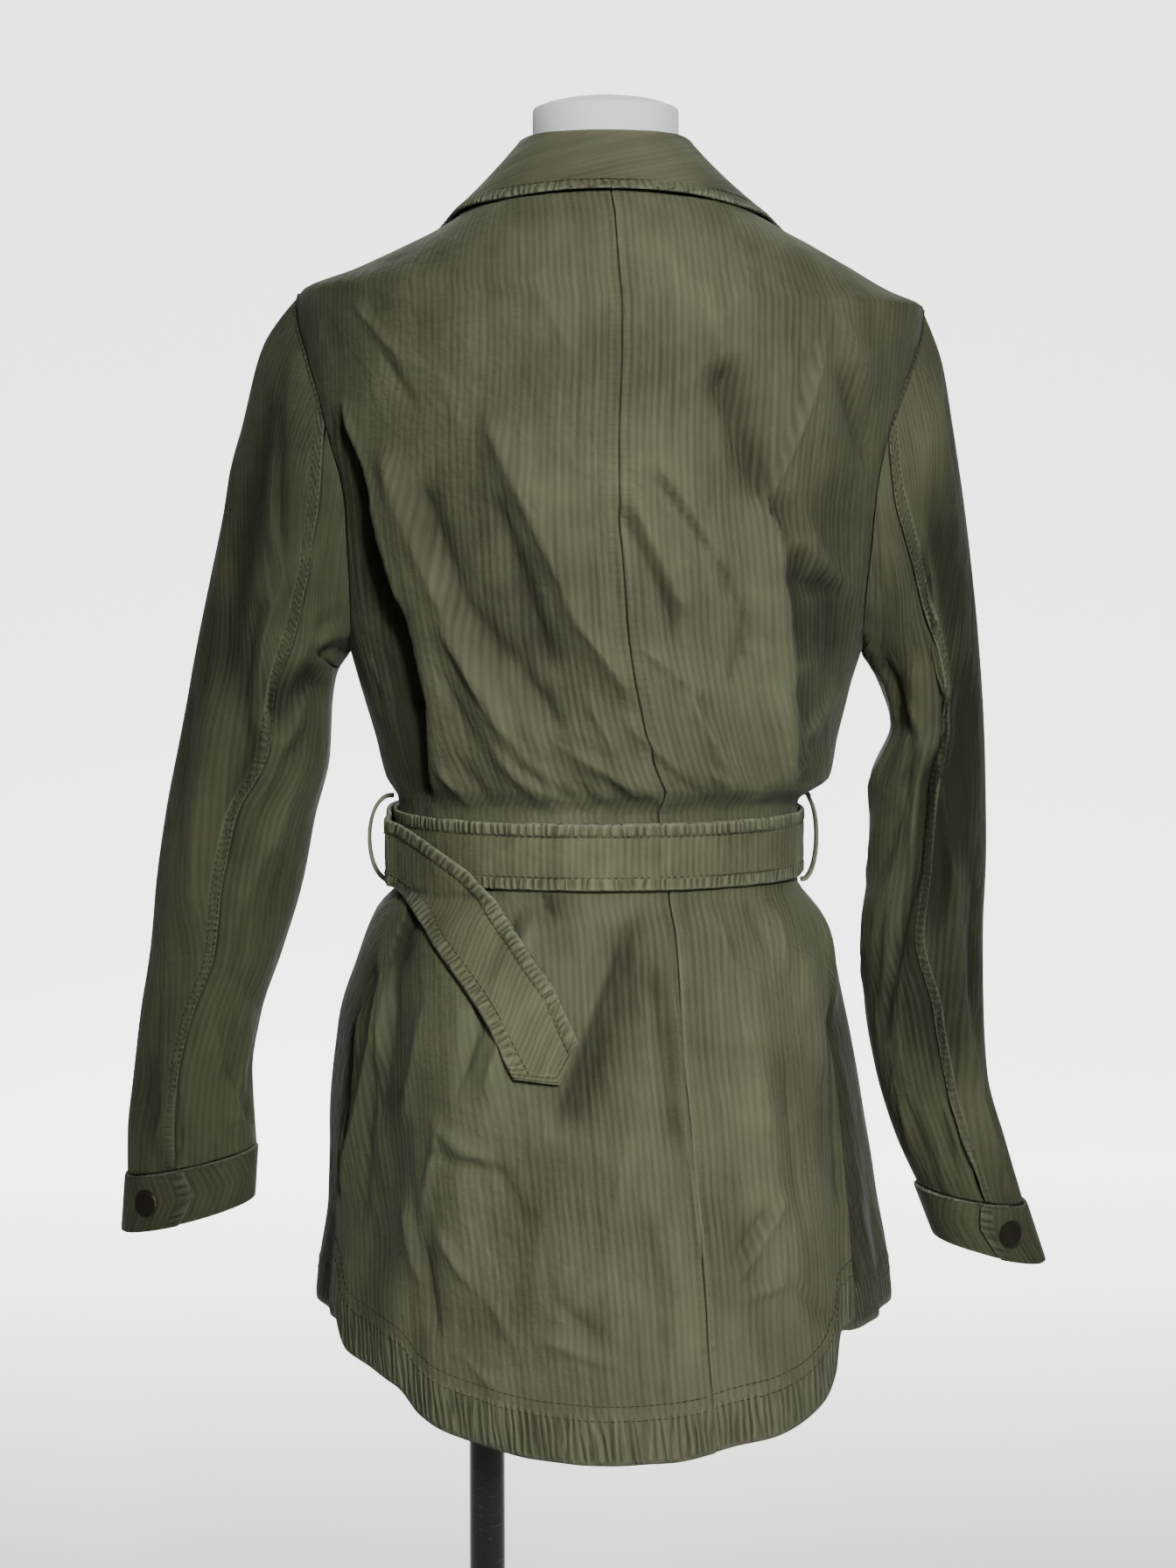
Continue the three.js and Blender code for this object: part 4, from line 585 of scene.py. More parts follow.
def sleeve(side, at, angle):
    at = np.clip(np.asarray(at, float), 0, SLEEVE_END)
    angle = np.asarray(angle, float)
    sign = -1 if side == "left" else 1
    turn = np.radians(angle)
    push = sleeve_push(side, at, angle)
    place = sleeve_ring(side, at, angle)
    place[..., 0] += sign * push * np.cos(turn)
    place[..., 1] -= push * np.sin(turn)
    join = 1 - smooth(at / SLEEVE_JOIN)
    start = armhole_point(side, angle) - sleeve_ring(side, 0 * at, angle)
    return place + start * join[..., None]


def sleeve_cloth(side, at, angle, lift=0.0):
    at, angle = np.broadcast_arrays(np.asarray(at, float), np.asarray(angle, float))
    sign = 1 if side == "left" else -1
    normal = sign * normal_of(lambda a, b: sleeve(side, a, b), at, angle, 0.03, 0.7)
    return sleeve(side, at, angle) + normal * np.asarray(lift)[..., None], normal


def cuff_cloth(side, angle, rise, lift):
    sign = -1 if side == "left" else 1
    angle, rise, lift = np.broadcast_arrays(*(np.asarray(n, float) for n in (angle, rise, lift)))

    def surface(a, b):
        pick, turn, across, depth, share = ring_point(CUFF[side], b, a)
        return points(mix(pick["inX"], pick["outX"], share) + sign * lift * across,
                      pick["middle"] - (depth + lift) * np.sin(turn), mix(pick["inZ"], pick["outZ"], share))

    return surface(angle, rise), sign * normal_of(surface, angle, rise, 1.0, 0.02)


def belt_lift(angle):
    return LAY_GAP + BELT_CLOTH + PLACKET_LIFT * smooth((np.abs(angle) - 142) / 14)


def angle_at(x, z):
    left, middle, right = (read(BODY, "z", key, z) for key in ("left", "middle", "right"))
    across = (x - middle) / np.where(x > middle, right - middle, middle - left)
    return np.degrees(np.arcsin(np.sign(across) * np.minimum(1, np.abs(across)) ** (1 / SQUARENESS)))


def tail_reach(angle, z):
    out = outward_of(angle)
    lay = LAY_GAP + BELT_CLOTH + 0.4
    band_z = np.full(np.shape(z), BELT_BOTTOM_Z + 20)
    band = (body_plain(angle, band_z) * out).sum(-1) + belt_lift(angle) + lay
    below = np.maximum(0, BELT_BOTTOM_Z - 2 - z)
    skirt = (body_plain(angle, z) * out).sum(-1) + lay + 1.6
    return out, np.maximum(skirt, band - below * TAIL_BRIDGE)


def tail_middle(at):
    angle, z = read(TAIL, "at", "angle", at), read(TAIL, "at", "z", at)
    out, reach = tail_reach(angle, z)
    place = body_plain(angle, z)
    return place + out * (reach - (place * out).sum(-1))[..., None]


def tail_point(at, across, tip=0.0):
    at, across, tip = np.broadcast_arrays(*(np.asarray(n, float) for n in (at, across, tip)))
    middle = tail_middle(at)
    along = unit(tail_middle(np.minimum(TAIL_STEPS, at + 0.05)) - tail_middle(np.maximum(0, at - 0.05)))
    tilt = np.radians(read(TAIL, "at", "tilt", at))
    angle = read(TAIL, "at", "angle", at)
    turn = np.radians(angle)
    level = points(np.cos(turn), np.sin(turn), 0 * turn)
    side = level * np.sin(tilt)[..., None] + points(0 * tilt, 0 * tilt, np.cos(tilt))
    place = middle + side * (across * TAIL_HALF_WIDTH)[..., None] + along * tip[..., None]
    here = angle_at(place[..., 0], place[..., 2])
    out, reach = tail_reach(here, place[..., 2])
    pushed = place + out * (reach - (place * out).sum(-1))[..., None]
    share = smooth((angle + 84) / 8)[..., None]
    return place * (1 - share) + pushed * share


def tail_cloth(at, across, lift):
    """Places on the tail's cloth, with its pointed tip, and their normals."""
    tip = TAIL_TIP * (1 - np.abs(across)) * smooth((at / TAIL_STEPS - 0.9) / 0.1)
    along = tail_point(at + 0.02, across, tip) - tail_point(at - 0.02, across, tip)
    over = tail_point(at, across + 0.05, tip) - tail_point(at, across - 0.05, tip)
    normal = unit(np.cross(along, over))
    return tail_point(at, across, tip) + normal * np.asarray(lift)[..., None], normal


def collar_frame(angle):
    turn = np.abs(angle)
    out = outward_of(angle)
    reach = read(COLLAR, "angle", "foldReach", turn)
    fold_z = read(COLLAR, "angle", "foldZ", turn)
    edge_z = read(COLLAR, "angle", "edgeZ", turn)
    fold = points(COLLAR_CENTRE_X + 0 * turn, 0 * turn, fold_z) + out * reach[..., None]
    lapped = (turn > 90) & (angle > 0)
    neck_lift = np.where(lapped, front_lift("right", angle, NECK_FRONT_Z + 0 * turn), 0)
    neck = body_cloth(angle, neck_height(angle), neck_lift, body_plain)[0] - out * 0.6
    neck[..., 2] += 1.15
    lift = LAY_GAP + CLOTH + 0.6 + PLACKET_LIFT * smooth((turn - 120) / 22)
    edge = body_cloth(angle, edge_z, lift, body_plain)[0]
    return out, fold, neck, edge


def collar_surface(angle, part):
    angle, part = np.broadcast_arrays(np.asarray(angle, float), np.clip(np.asarray(part, float), 0, 3))
    out, fold, neck, edge = collar_frame(angle)
    up = np.array([0.0, 0.0, 1.0])
    centre = fold + out * COLLAR_ROLL - up * COLLAR_ROLL
    top = centre - out * COLLAR_ROLL
    stand = neck + (top - neck) * np.clip(part, 0, 1)[..., None]
    bend = math.pi * (1 - np.clip(part - 1, 0, 1) * 0.86)[..., None]
    roll = centre + out * COLLAR_ROLL * np.cos(bend) + up * COLLAR_ROLL * np.sin(bend)
    t = np.clip(part - 2, 0, 1)[..., None]
    leave = 0.14 * math.pi
    start = centre + out * COLLAR_ROLL * math.cos(leave) + up * COLLAR_ROLL * math.sin(leave)
    soft = (1 - smooth((np.abs(angle) - 30) / 50))[..., None]
    bulge = (start + edge) / 2 + (out * 5 + up * 3) * soft - out * 2 * (1 - soft)
    fall = start * (1 - t) ** 2 + bulge * 2 * t * (1 - t) + edge * t * t
    choice = part[..., None]
    return np.where(choice < 1, stand, np.where(choice < 2, roll, fall))


def collar_cloth(angle, part, lift=0.0):
    angle, part = np.broadcast_arrays(np.asarray(angle, float), np.asarray(part, float))
    normal = -normal_of(collar_surface, angle, part, 0.8, 0.02)
    return collar_surface(angle, part) + normal * np.asarray(lift)[..., None], normal


# Shader building: a wire is one socket, and arithmetic on it adds Math nodes.
class Wire:
    def __init__(self, finish, socket):
        self.finish = finish
        self.socket = socket

    def maths(self, operation, first, second=None):
        values = {0: first} if second is None else {0: first, 1: second}
        return self.finish.node("ShaderNodeMath", {"operation": operation}, values)

    def __add__(self, other):
        return self.maths("ADD", self, other)

    def __radd__(self, other):
        return self.maths("ADD", other, self)

    def __sub__(self, other):
        return self.maths("SUBTRACT", self, other)

    def __rsub__(self, other):
        return self.maths("SUBTRACT", other, self)

    def __mul__(self, other):
        return self.maths("MULTIPLY", self, other)

    def __rmul__(self, other):
        return self.maths("MULTIPLY", other, self)

    def __truediv__(self, other):
        return self.maths("DIVIDE", self, other)

    def __mod__(self, other):
        return self.maths("FLOORED_MODULO", self, other)

    def __abs__(self):
        return self.maths("ABSOLUTE", self)

    def above(self, limit):
        return self.maths("GREATER_THAN", self, limit)

    def clamped(self, low=0.0, high=1.0):
        return self.maths("MINIMUM", self.maths("MAXIMUM", self, low), high)


class Finish:
    """A material whose nodes are added one by one."""

    def __init__(self, name):
        self.material = bpy.data.materials.new(name)
        self.material.use_nodes = True
        self.tree = self.material.node_tree
        self.shader = self.tree.nodes["Principled BSDF"]

    def put(self, socket, value):
        if isinstance(value, Wire):
            self.tree.links.new(value.socket, socket)
        else:
            socket.default_value = value

    def node(self, kind, settings, values, output=0):
        node = self.tree.nodes.new(kind)
        for key, value in settings.items():
            if key == "stops":
                ramp = node.color_ramp
                ramp.elements[0].position, ramp.elements[0].color = value[0]
                ramp.elements[1].position, ramp.elements[1].color = value[-1]
                for place, colour in value[1:-1]:
                    ramp.elements.new(place).color = colour
            else:
                setattr(node, key, value)
        for key, value in values.items():
            self.put(node.inputs[key], value)
        return Wire(self, node.outputs[output])

    def attribute(self, name):
        return self.node("ShaderNodeAttribute", {"attribute_name": name}, {}, "Fac")

    def split(self, vector):
        parts = self.tree.nodes.new("ShaderNodeSeparateXYZ")
        self.put(parts.inputs[0], vector)
        return [Wire(self, socket) for socket in parts.outputs]

    def vector(self, x, y, z=0.0):
        return self.node("ShaderNodeCombineXYZ", {}, {0: x, 1: y, 2: z})

    def uv(self):
        return self.node("ShaderNodeUVMap", {"uv_map": "cut"}, {})

    def place(self):
        return self.node("ShaderNodeTexCoord", {}, {}, "Object")

    def noise(self, vector, scale, detail=2.0, roughness=0.5):
        values = {"Vector": vector, "Scale": scale, "Detail": detail, "Roughness": roughness}
        return self.node("ShaderNodeTexNoise", {"noise_dimensions": "3D"}, values, "Fac")

    def blend(self, share, first, second, how="MIX"):
        node = self.tree.nodes.new("ShaderNodeMix")
        node.data_type = "RGBA"
        node.blend_type = how
        self.put(node.inputs["Factor"], share)
        self.put(node.inputs["A"], first)
        self.put(node.inputs["B"], second)
        return Wire(self, node.outputs["Result"])

    def bump(self, height, strength, distance, below=None):
        values = {"Height": height, "Strength": strength, "Distance": distance}
        if below is not None:
            values["Normal"] = below
        return self.node("ShaderNodeBump", {}, values)

    def shade(self, **values):
        for name, value in values.items():
            self.put(self.shader.inputs[name.replace("_", " ")], value)
        return self.material


def rgba(colour, share=1.0):
    return (*[channel * share for channel in colour[:3]], 1.0)


def cloth_material(settings, name, lift=1.0):
    """Worn herringbone cotton: narrow columns of slanting twill, streaked, faded at edges; lighter on fold
    crests (partly fading, partly painted light), darker in troughs and behind folds (painted shade), with
    painted light and shade along the puckers.
    """
    f = Finish(name)
    across, along, _ = f.split(f.uv())
    wander = f.noise(f.vector(across * 60.0, along * 6.0), 1.0, 1.0)
    column = (across + wander * 0.0016) / settings.column_width
    stripe = abs(column % 1.0 - 0.5) * 2.0
    parity = (column % 2.0).above(1.0)
    slant = along + (1.0 - 2.0 * parity) * across
    twill = abs((slant / settings.twill_pitch) % 1.0 - 0.5) * 2.0
    streak = f.noise(f.vector(across * 300.0, along * 11.0), 1.0, 3.0, 0.65)
    broad = f.noise(f.vector(across * 95.0, along * 5.0), 1.0, 2.0)
    cloud = f.noise(f.place(), 11.0, 3.0, 0.6)
    patch = f.noise(f.vector(across * 42.0, along * 17.0), 1.0, 3.0, 0.6)
    fibre = f.noise(f.vector(across * 1500.0, along * 1500.0), 1.0, 2.0)
    crest, worn, pucker, shade = (f.attribute(key) for key in ("crest", "worn", "pucker", "shade"))
    way = f.attribute("way")
    rumple = f.noise(f.vector(way * 0.14, along * 24.0, across * 24.0), 1.0, 2.0)
    ruck = abs(((way + rumple * 9.0) / 4.2) % 1.0 - 0.5) * 2.0
    # tone: the cloth's own streaks, mottling and weave, plus painted light and shade: crest lightens fold
    # crests and darkens troughs, shade adds painted shade, and pucker paints light and shade along the
    # puckers.
    tone = (
        0.5 + (streak - 0.5) * 0.55 + (broad - 0.5) * 0.22 + (cloud - 0.5) * 0.90 + (stripe - 0.5) * 0.26
        + (patch - 0.5) * 0.45
        + (twill - 0.5) * 0.12 + (fibre - 0.5) * 0.30 + (crest - 0.5) * 0.34 - shade * 0.60
        + pucker * (ruck - 0.40) * (0.2 + 0.9 * rumple)
    ).clamped()
    # Ends of the tone: the darker and the faded cloth, which are also the painted shade and the painted
    # light.
    dark_and_shaded = rgba(settings.cloth_shade, lift)
    lit = rgba(settings.cloth_lit, lift)
    rubbed = (worn * (0.5 + 0.6 * streak)).clamped()
    colour = f.blend(rubbed, f.blend(tone, dark_and_shaded, lit), rgba(settings.cloth_worn, lift))
    weave = f.bump(twill * 0.5 + stripe * 0.6 + fibre * 0.6, 0.35, 0.0004)
    fine = f.bump(f.noise(f.place(), 55.0, 4.0, 0.6), 0.45, 0.006, weave)
    crumple = f.bump(patch, 0.45, 0.010, fine)
    normal = f.bump(ruck * pucker * (0.3 + 1.2 * rumple), 0.75, 0.0020, crumple)
    f.shader.inputs["Sheen Weight"].default_value = settings.sheen
    f.shader.inputs["Sheen Roughness"].default_value = 0.45
    f.shader.inputs["Sheen Tint"].default_value = (0.80, 0.86, 0.84, 1.0)
    f.shader.inputs["Specular IOR Level"].default_value = 0.45
    return f.shade(Base_Color=colour, Roughness=0.84 + (twill - 0.5) * 0.08 - worn * 0.08, Normal=normal)


def thread_material(settings):
    f = Finish("topstitch_thread")
    twist = f.noise(f.place(), 2200.0, 1.0)
    colour = f.blend(twist, rgba(settings.thread_colour, 0.7), rgba(settings.thread_colour, 1.3))
    f.shader.inputs["Specular IOR Level"].default_value = 0.3
    return f.shade(Base_Color=colour, Roughness=0.7, Normal=f.bump(twist, 0.3, 0.0002))


def metal_material(name, colour, metallic, roughness):
    f = Finish(name)
    grain = f.noise(f.place(), 320.0, 4.0, 0.7)
    scuff = f.noise(f.place(), 90.0, 5.0, 0.7)
    tone = f.blend(scuff, rgba(colour, 0.75), rgba(colour, 1.35))
    f.shader.inputs["Metallic"].default_value = metallic
    uneven = roughness + (grain - 0.5) * 0.2
    return f.shade(Base_Color=tone, Roughness=uneven, Normal=f.bump(grain, 0.15, 0.0003))


def stand_material(colour):
    """Gloss black paint with fine scuffs and a few pale chips."""
    f = Finish("stand_paint")
    place = f.place()
    x, y, z = f.split(place)
    scratch = f.noise(f.vector(x * 90.0, y * 90.0, z * 420.0), 1.0, 4.0, 0.75)
    chips = ((f.noise(place, 75.0, 6.0, 0.8) - 0.66) * 14.0).clamped()
    rub = ((scratch - 0.58) * 6.0).clamped()
    base = f.blend(rub * 0.25, rgba(colour), (0.10, 0.11, 0.12, 1.0))
    tone = f.blend(chips * 0.55, base, (0.22, 0.23, 0.25, 1.0))
    f.shader.inputs["Coat Roughness"].default_value = 0.12
    return f.shade(Base_Color=tone, Roughness=0.22 + rub * 0.3 + chips * 0.2, Coat_Weight=0.6 - chips * 0.4,
                   Normal=f.bump(scratch, 0.08, 0.0004))


def form_material(colour):
    """Off-white jersey stretched over the form: fine knit ribs, faintly soiled."""
    f = Finish("form_jersey")
    place = f.place()
    x, y, z = f.split(place)
    rib = f.noise(f.vector(x * 1500.0, y * 1500.0, z * 500.0), 1.0, 2.0)
    soil = f.noise(place, 16.0, 4.0, 0.6)
    tone = f.blend(soil, rgba(colour, 0.90), rgba(colour, 1.04))
    fine = f.blend(rib * 0.35, tone, rgba(colour, 0.82))
    f.shader.inputs["Sheen Weight"].default_value = 0.2
    return f.shade(Base_Color=fine, Roughness=0.78, Normal=f.bump(rib, 0.25, 0.0004))


def turned(name, profile, segments, material, slot, stretch=(1, 1, 1), centre=(0, 0, 0)):
    """Spins a profile of radii and heights about the upright axis, stretches it and moves it."""
    bm = bmesh.new()
    verts = [bm.verts.new((r, 0, z)) for r, z in profile]
    edges = [bm.edges.new(pair) for pair in zip(verts, verts[1:])]
    bmesh.ops.spin(bm, geom=verts + edges, axis=(0, 0, 1), cent=(0, 0, 0), steps=segments,
                   angle=2 * math.pi, use_merge=True)
    bmesh.ops.remove_doubles(bm, verts=bm.verts[:], dist=1e-6)
    bmesh.ops.recalc_face_normals(bm, faces=bm.faces[:])
    bmesh.ops.scale(bm, vec=stretch, verts=bm.verts[:])
    bmesh.ops.translate(bm, vec=centre, verts=bm.verts[:])
    return finish_piece(name, bm, material, slot)


def float_layer(mesh, name, values):
    layer = mesh.attributes.new(name, "FLOAT", "POINT")
    layer.data.foreach_set("value", np.asarray(values, np.float32))


def finish_piece(name, bm, material, slot, smooth_faces=True):
    mesh = bpy.data.meshes.new(name)
    bm.to_mesh(mesh)
    bm.free()
    if smooth_faces:
        mesh.polygons.foreach_set("use_smooth", [True] * len(mesh.polygons))
    piece = bpy.data.objects.new(name, mesh)
    bpy.context.scene.collection.objects.link(piece)
    mesh.materials.append(material)
    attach(piece, ROOT)
    return piece


def arc_lengths(points_grid):
    """Lengths along the rows of a grid of points, from its first column."""
    step = np.linalg.norm(np.diff(points_grid, axis=1), axis=2)
    return np.concatenate([np.zeros((len(points_grid), 1)), np.cumsum(step, axis=1)], axis=1)


def sheet_grid(name, columns, rows, surface, material, slot="cloth", thickness=CLOTH, replaces=None):
    """A cloth piece from a grid: surface gives points, normals and the shading layers."""
    bm = bmesh.new()
    bmesh.ops.create_grid(bm, x_segments=columns, y_segments=rows, size=1.0)
    bm.verts.ensure_lookup_table()
    flat = np.round(np.array([vert.co[:2] for vert in bm.verts]), 6)
    u, v = (flat[:, 0] + 1) / 2, (flat[:, 1] + 1) / 2
    made = surface(u, v)
    place = (made["point"] + SHIFT) * MM
    for vert, co in zip(bm.verts, place):
        vert.co = co
    bm.normal_update()
    bm.faces.ensure_lookup_table()
    middle = bm.faces[len(bm.faces) // 2]
    nearest = made["normal"][middle.verts[0].index]
    if middle.normal.dot(Vector(nearest)) < 0:
        bmesh.ops.reverse_faces(bm, faces=bm.faces[:])
    order = np.lexsort((u, v))
    base = made.get("flat", made["point"])[order].reshape(rows + 1, columns + 1, 3)
    cut = np.empty((len(u), 2))
    cut[order, 0] = arc_lengths(base).ravel()
    cut[order, 1] = arc_lengths(base.transpose(1, 0, 2)).T.ravel()
    cut *= MM
    layer = bm.loops.layers.uv.new("cut")
    for face in bm.faces:
        for loop in face.loops:
            loop[layer].uv = cut[loop.vert.index]
    piece = finish_piece(name, bm, material, slot)
    defaults = {"crest": 0.5, "worn": 0.0, "pucker": 0.0, "way": 0.0, "shade": 0.0}
    for key, value in defaults.items():
        float_layer(piece.data, key, made.get(key, np.full(len(u), value)))
    wall = piece.modifiers.new("cloth_thickness", "SOLIDIFY")
    wall.thickness = thickness * MM
    wall.offset = -1
    wall.use_even_offset = False
    if replaces:
        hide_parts(*replaces)
    return piece


def declare(piece):
    cut = np.empty(2 * len(piece.data.loops))
    piece.data.uv_layers["cut"].data.foreach_get("uv", cut)


def stitch_row(bm, place, settings, seed=5):
    """Lays a thread along a path; it dips into the cloth between stitches. place gives points and normals."""
    t = np.linspace(0, 1, 400)
    path, _ = place(t)
    far = np.concatenate([[0], np.cumsum(np.linalg.norm(np.diff(path, axis=0), axis=1))])
    pitch = (settings.stitch_length + settings.stitch_gap) / MM
    count = max(2, int(far[-1] / pitch))
    rows = count * 5
    made = bmesh.ops.create_grid(bm, x_segments=5, y_segments=rows, size=1.0)
    verts = made["verts"]
    flat = np.round(np.array([vert.co[:2] for vert in verts]), 6)
    turn = (flat[:, 0] + 1) * math.pi
    row = np.round((flat[:, 1] + 1) / 2 * rows).astype(int)
    step = np.arange(rows + 1) / rows
    centre, up = place(np.interp(step * far[-1], far, t))
    along = unit(np.gradient(centre, axis=0))
    side = unit(np.cross(up, along))
    beat = np.abs(np.sin(math.pi * step * count))
    wide = settings.thread_width / MM / 2
    random = np.random.default_rng(seed)
    uneven = np.repeat(random.uniform(0.85, 1.15, count + 1), 5)[:rows + 1]
    radius = wide * uneven * (0.3 + 0.7 * beat ** 0.6)
    radius[[0, -1]] = 0
    lift = mix(-0.7, 0.10, beat ** 0.5)
    co = (centre + up * lift[:, None])[row]
    co += up[row] * (np.sin(turn) * radius[row])[:, None] + side[row] * (np.cos(turn) * radius[row])[:, None]
    co = (co + SHIFT) * MM
    for vert, here in zip(verts, co):
        vert.co = here


def stitch_piece(name, rows, settings, material, slot="cloth"):
    """Makes one piece of all the rows of thread that a sheet carries."""
    bm = bmesh.new()
    for seed, place in enumerate(rows):
        stitch_row(bm, place, settings, seed)
    bmesh.ops.remove_doubles(bm, verts=bm.verts[:], dist=1e-6)
    bmesh.ops.recalc_face_normals(bm, faces=bm.faces[:])
    return finish_piece(name, bm, material, slot)


MATERIALS = {}


def get_material(context, key):
    if key not in MATERIALS:
        cloth = context.scene.jacket_cloth
        stand = context.scene.jacket_stand
        makers = {
            "cloth": lambda: cloth_material(cloth, "herringbone_cloth"),
            "belt": lambda: cloth_material(cloth, "belt_cloth", 1.28),
            "thread": lambda: thread_material(cloth),
            "snap": lambda: metal_material("snap_gunmetal", cloth.snap_colour, 0.75, 0.42),
            "buckle": lambda: metal_material("buckle_gunmetal", cloth.buckle_colour, 0.9, 0.35),
            "form": lambda: form_material(stand.form_colour),
            "stand": lambda: stand_material(stand.paint_colour),
        }
        MATERIALS[key] = makers[key]()
    return MATERIALS[key]


def refinish(context, name, key):
    """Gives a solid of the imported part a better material; its shape stays."""
    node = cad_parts[name]
    node.data.materials.clear()
    node.data.materials.append(get_material(context, key))


def colour_property(name, description, default):
    return bpy.props.FloatVectorProperty(
        name=name, description=description, default=default, size=3, subtype="COLOR", min=0, max=1)


def length_property(name, description, default):
    return bpy.props.FloatProperty(name=name, description=description, default=default, unit="LENGTH", min=0)


class JacketClothSettings(bpy.types.PropertyGroup):
    """Sizes and colours of the cloth and its fastenings."""
    # cloth_lit and cloth_shade are the light and dark ends of the cloth's tone: faded and darker cloth, and
    # also painted light on crests and painted shade in troughs.
    cloth_lit: colour_property("Faded cloth", "Cloth colour on crests and streaks", (0.106, 0.106, 0.060))
    cloth_shade: colour_property("Deep cloth", "Cloth colour in troughs", (0.015, 0.0130, 0.0035))
    cloth_worn: colour_property("Worn edge", "Rubbed colour along edges and seams", (0.175, 0.170, 0.118))
    thread_colour: colour_property("Thread", "Colour of the topstitching", (0.022, 0.019, 0.008))
    snap_colour: colour_property("Snap", "Colour of the snap caps", (0.050, 0.042, 0.034))
    buckle_colour: colour_property("Buckle", "Colour of the buckle", (0.10, 0.095, 0.085))
    sheen: bpy.props.FloatProperty(
        name="Sheen", description="Bloom of the brushed cotton", default=0.05, subtype="FACTOR", min=0, max=1)
    column_width: length_property("Column width", "Width of one herringbone column", 0.0040)
    twill_pitch: length_property("Twill pitch", "Spacing of the slanting twill lines", 0.0011)
    stitch_length: length_property("Stitch length", "Length of one topstitch", 0.0029)
    stitch_gap: length_property("Stitch gap", "Space between topstitches", 0.0009)
    thread_width: length_property("Thread width", "Thickness of the topstitch thread", 0.00075)


class JacketStandSettings(bpy.types.PropertyGroup):
    """Colours of the dress form and its stand."""
    form_colour: colour_property("Form cover", "Jersey on the dress form", (0.72, 0.74, 0.78))
    paint_colour: colour_property("Stand paint", "Gloss paint of the pole and base", (0.006, 0.006, 0.007))


class JacketStageSettings(bpy.types.PropertyGroup):
    """The camera and the studio."""
    camera_distance: length_property("Camera distance", "From the body's middle plane", 1.8)
    camera_height: length_property("Camera height", "Above the floor", 1.17)
    camera_tilt: bpy.props.FloatProperty(
        name="Camera tilt", description="Downward tilt", default=math.radians(5.9), subtype="ANGLE")
    lens: bpy.props.FloatProperty(
        name="Lens", description="Focal length in millimetres", default=69.5, unit="CAMERA", min=10)
    floor_size: length_property("Floor size", "Side of the floor", 14.0)
    backdrop_glow: bpy.props.FloatProperty(
        name="Backdrop glow", description="Light from the backdrop and far floor", default=2.6, min=0)


def panel_seams(side, face, angle, z):
    """Distances inward of a panel's places from its middle seam and its side edge, in mm."""
    sign = -1 if side == "left" else 1
    per_mm = 2 * seam_turn(z) / SEAM_GAP
    away = -sign if face == "front" else sign
    middle = sign * (180 + PLACKET_OVERLAP) if face == "front" else read(SEAMS, "z", "centre", z)
    from_middle = (angle - middle) * away / per_mm
    from_edge = (side_edge(side, face, z) - angle) * away / per_mm
    return from_middle, from_edge


def hem_height(face, angle):
    if face == "front":
        return read(FRONT_HEM, "angle", "z", np.abs(angle))
    return read(BACK_HEM, "angle", "z", angle)


def flute(sign, angle, above_hem):
    """Slow waves of the skirt that grow towards its hem."""
    wave = np.sin(angle * 0.21 * sign + 0.7) + 0.6 * np.sin(angle * 0.43 + 1.9)
    return 1.5 * wave * smooth((130 - above_hem) / 130)


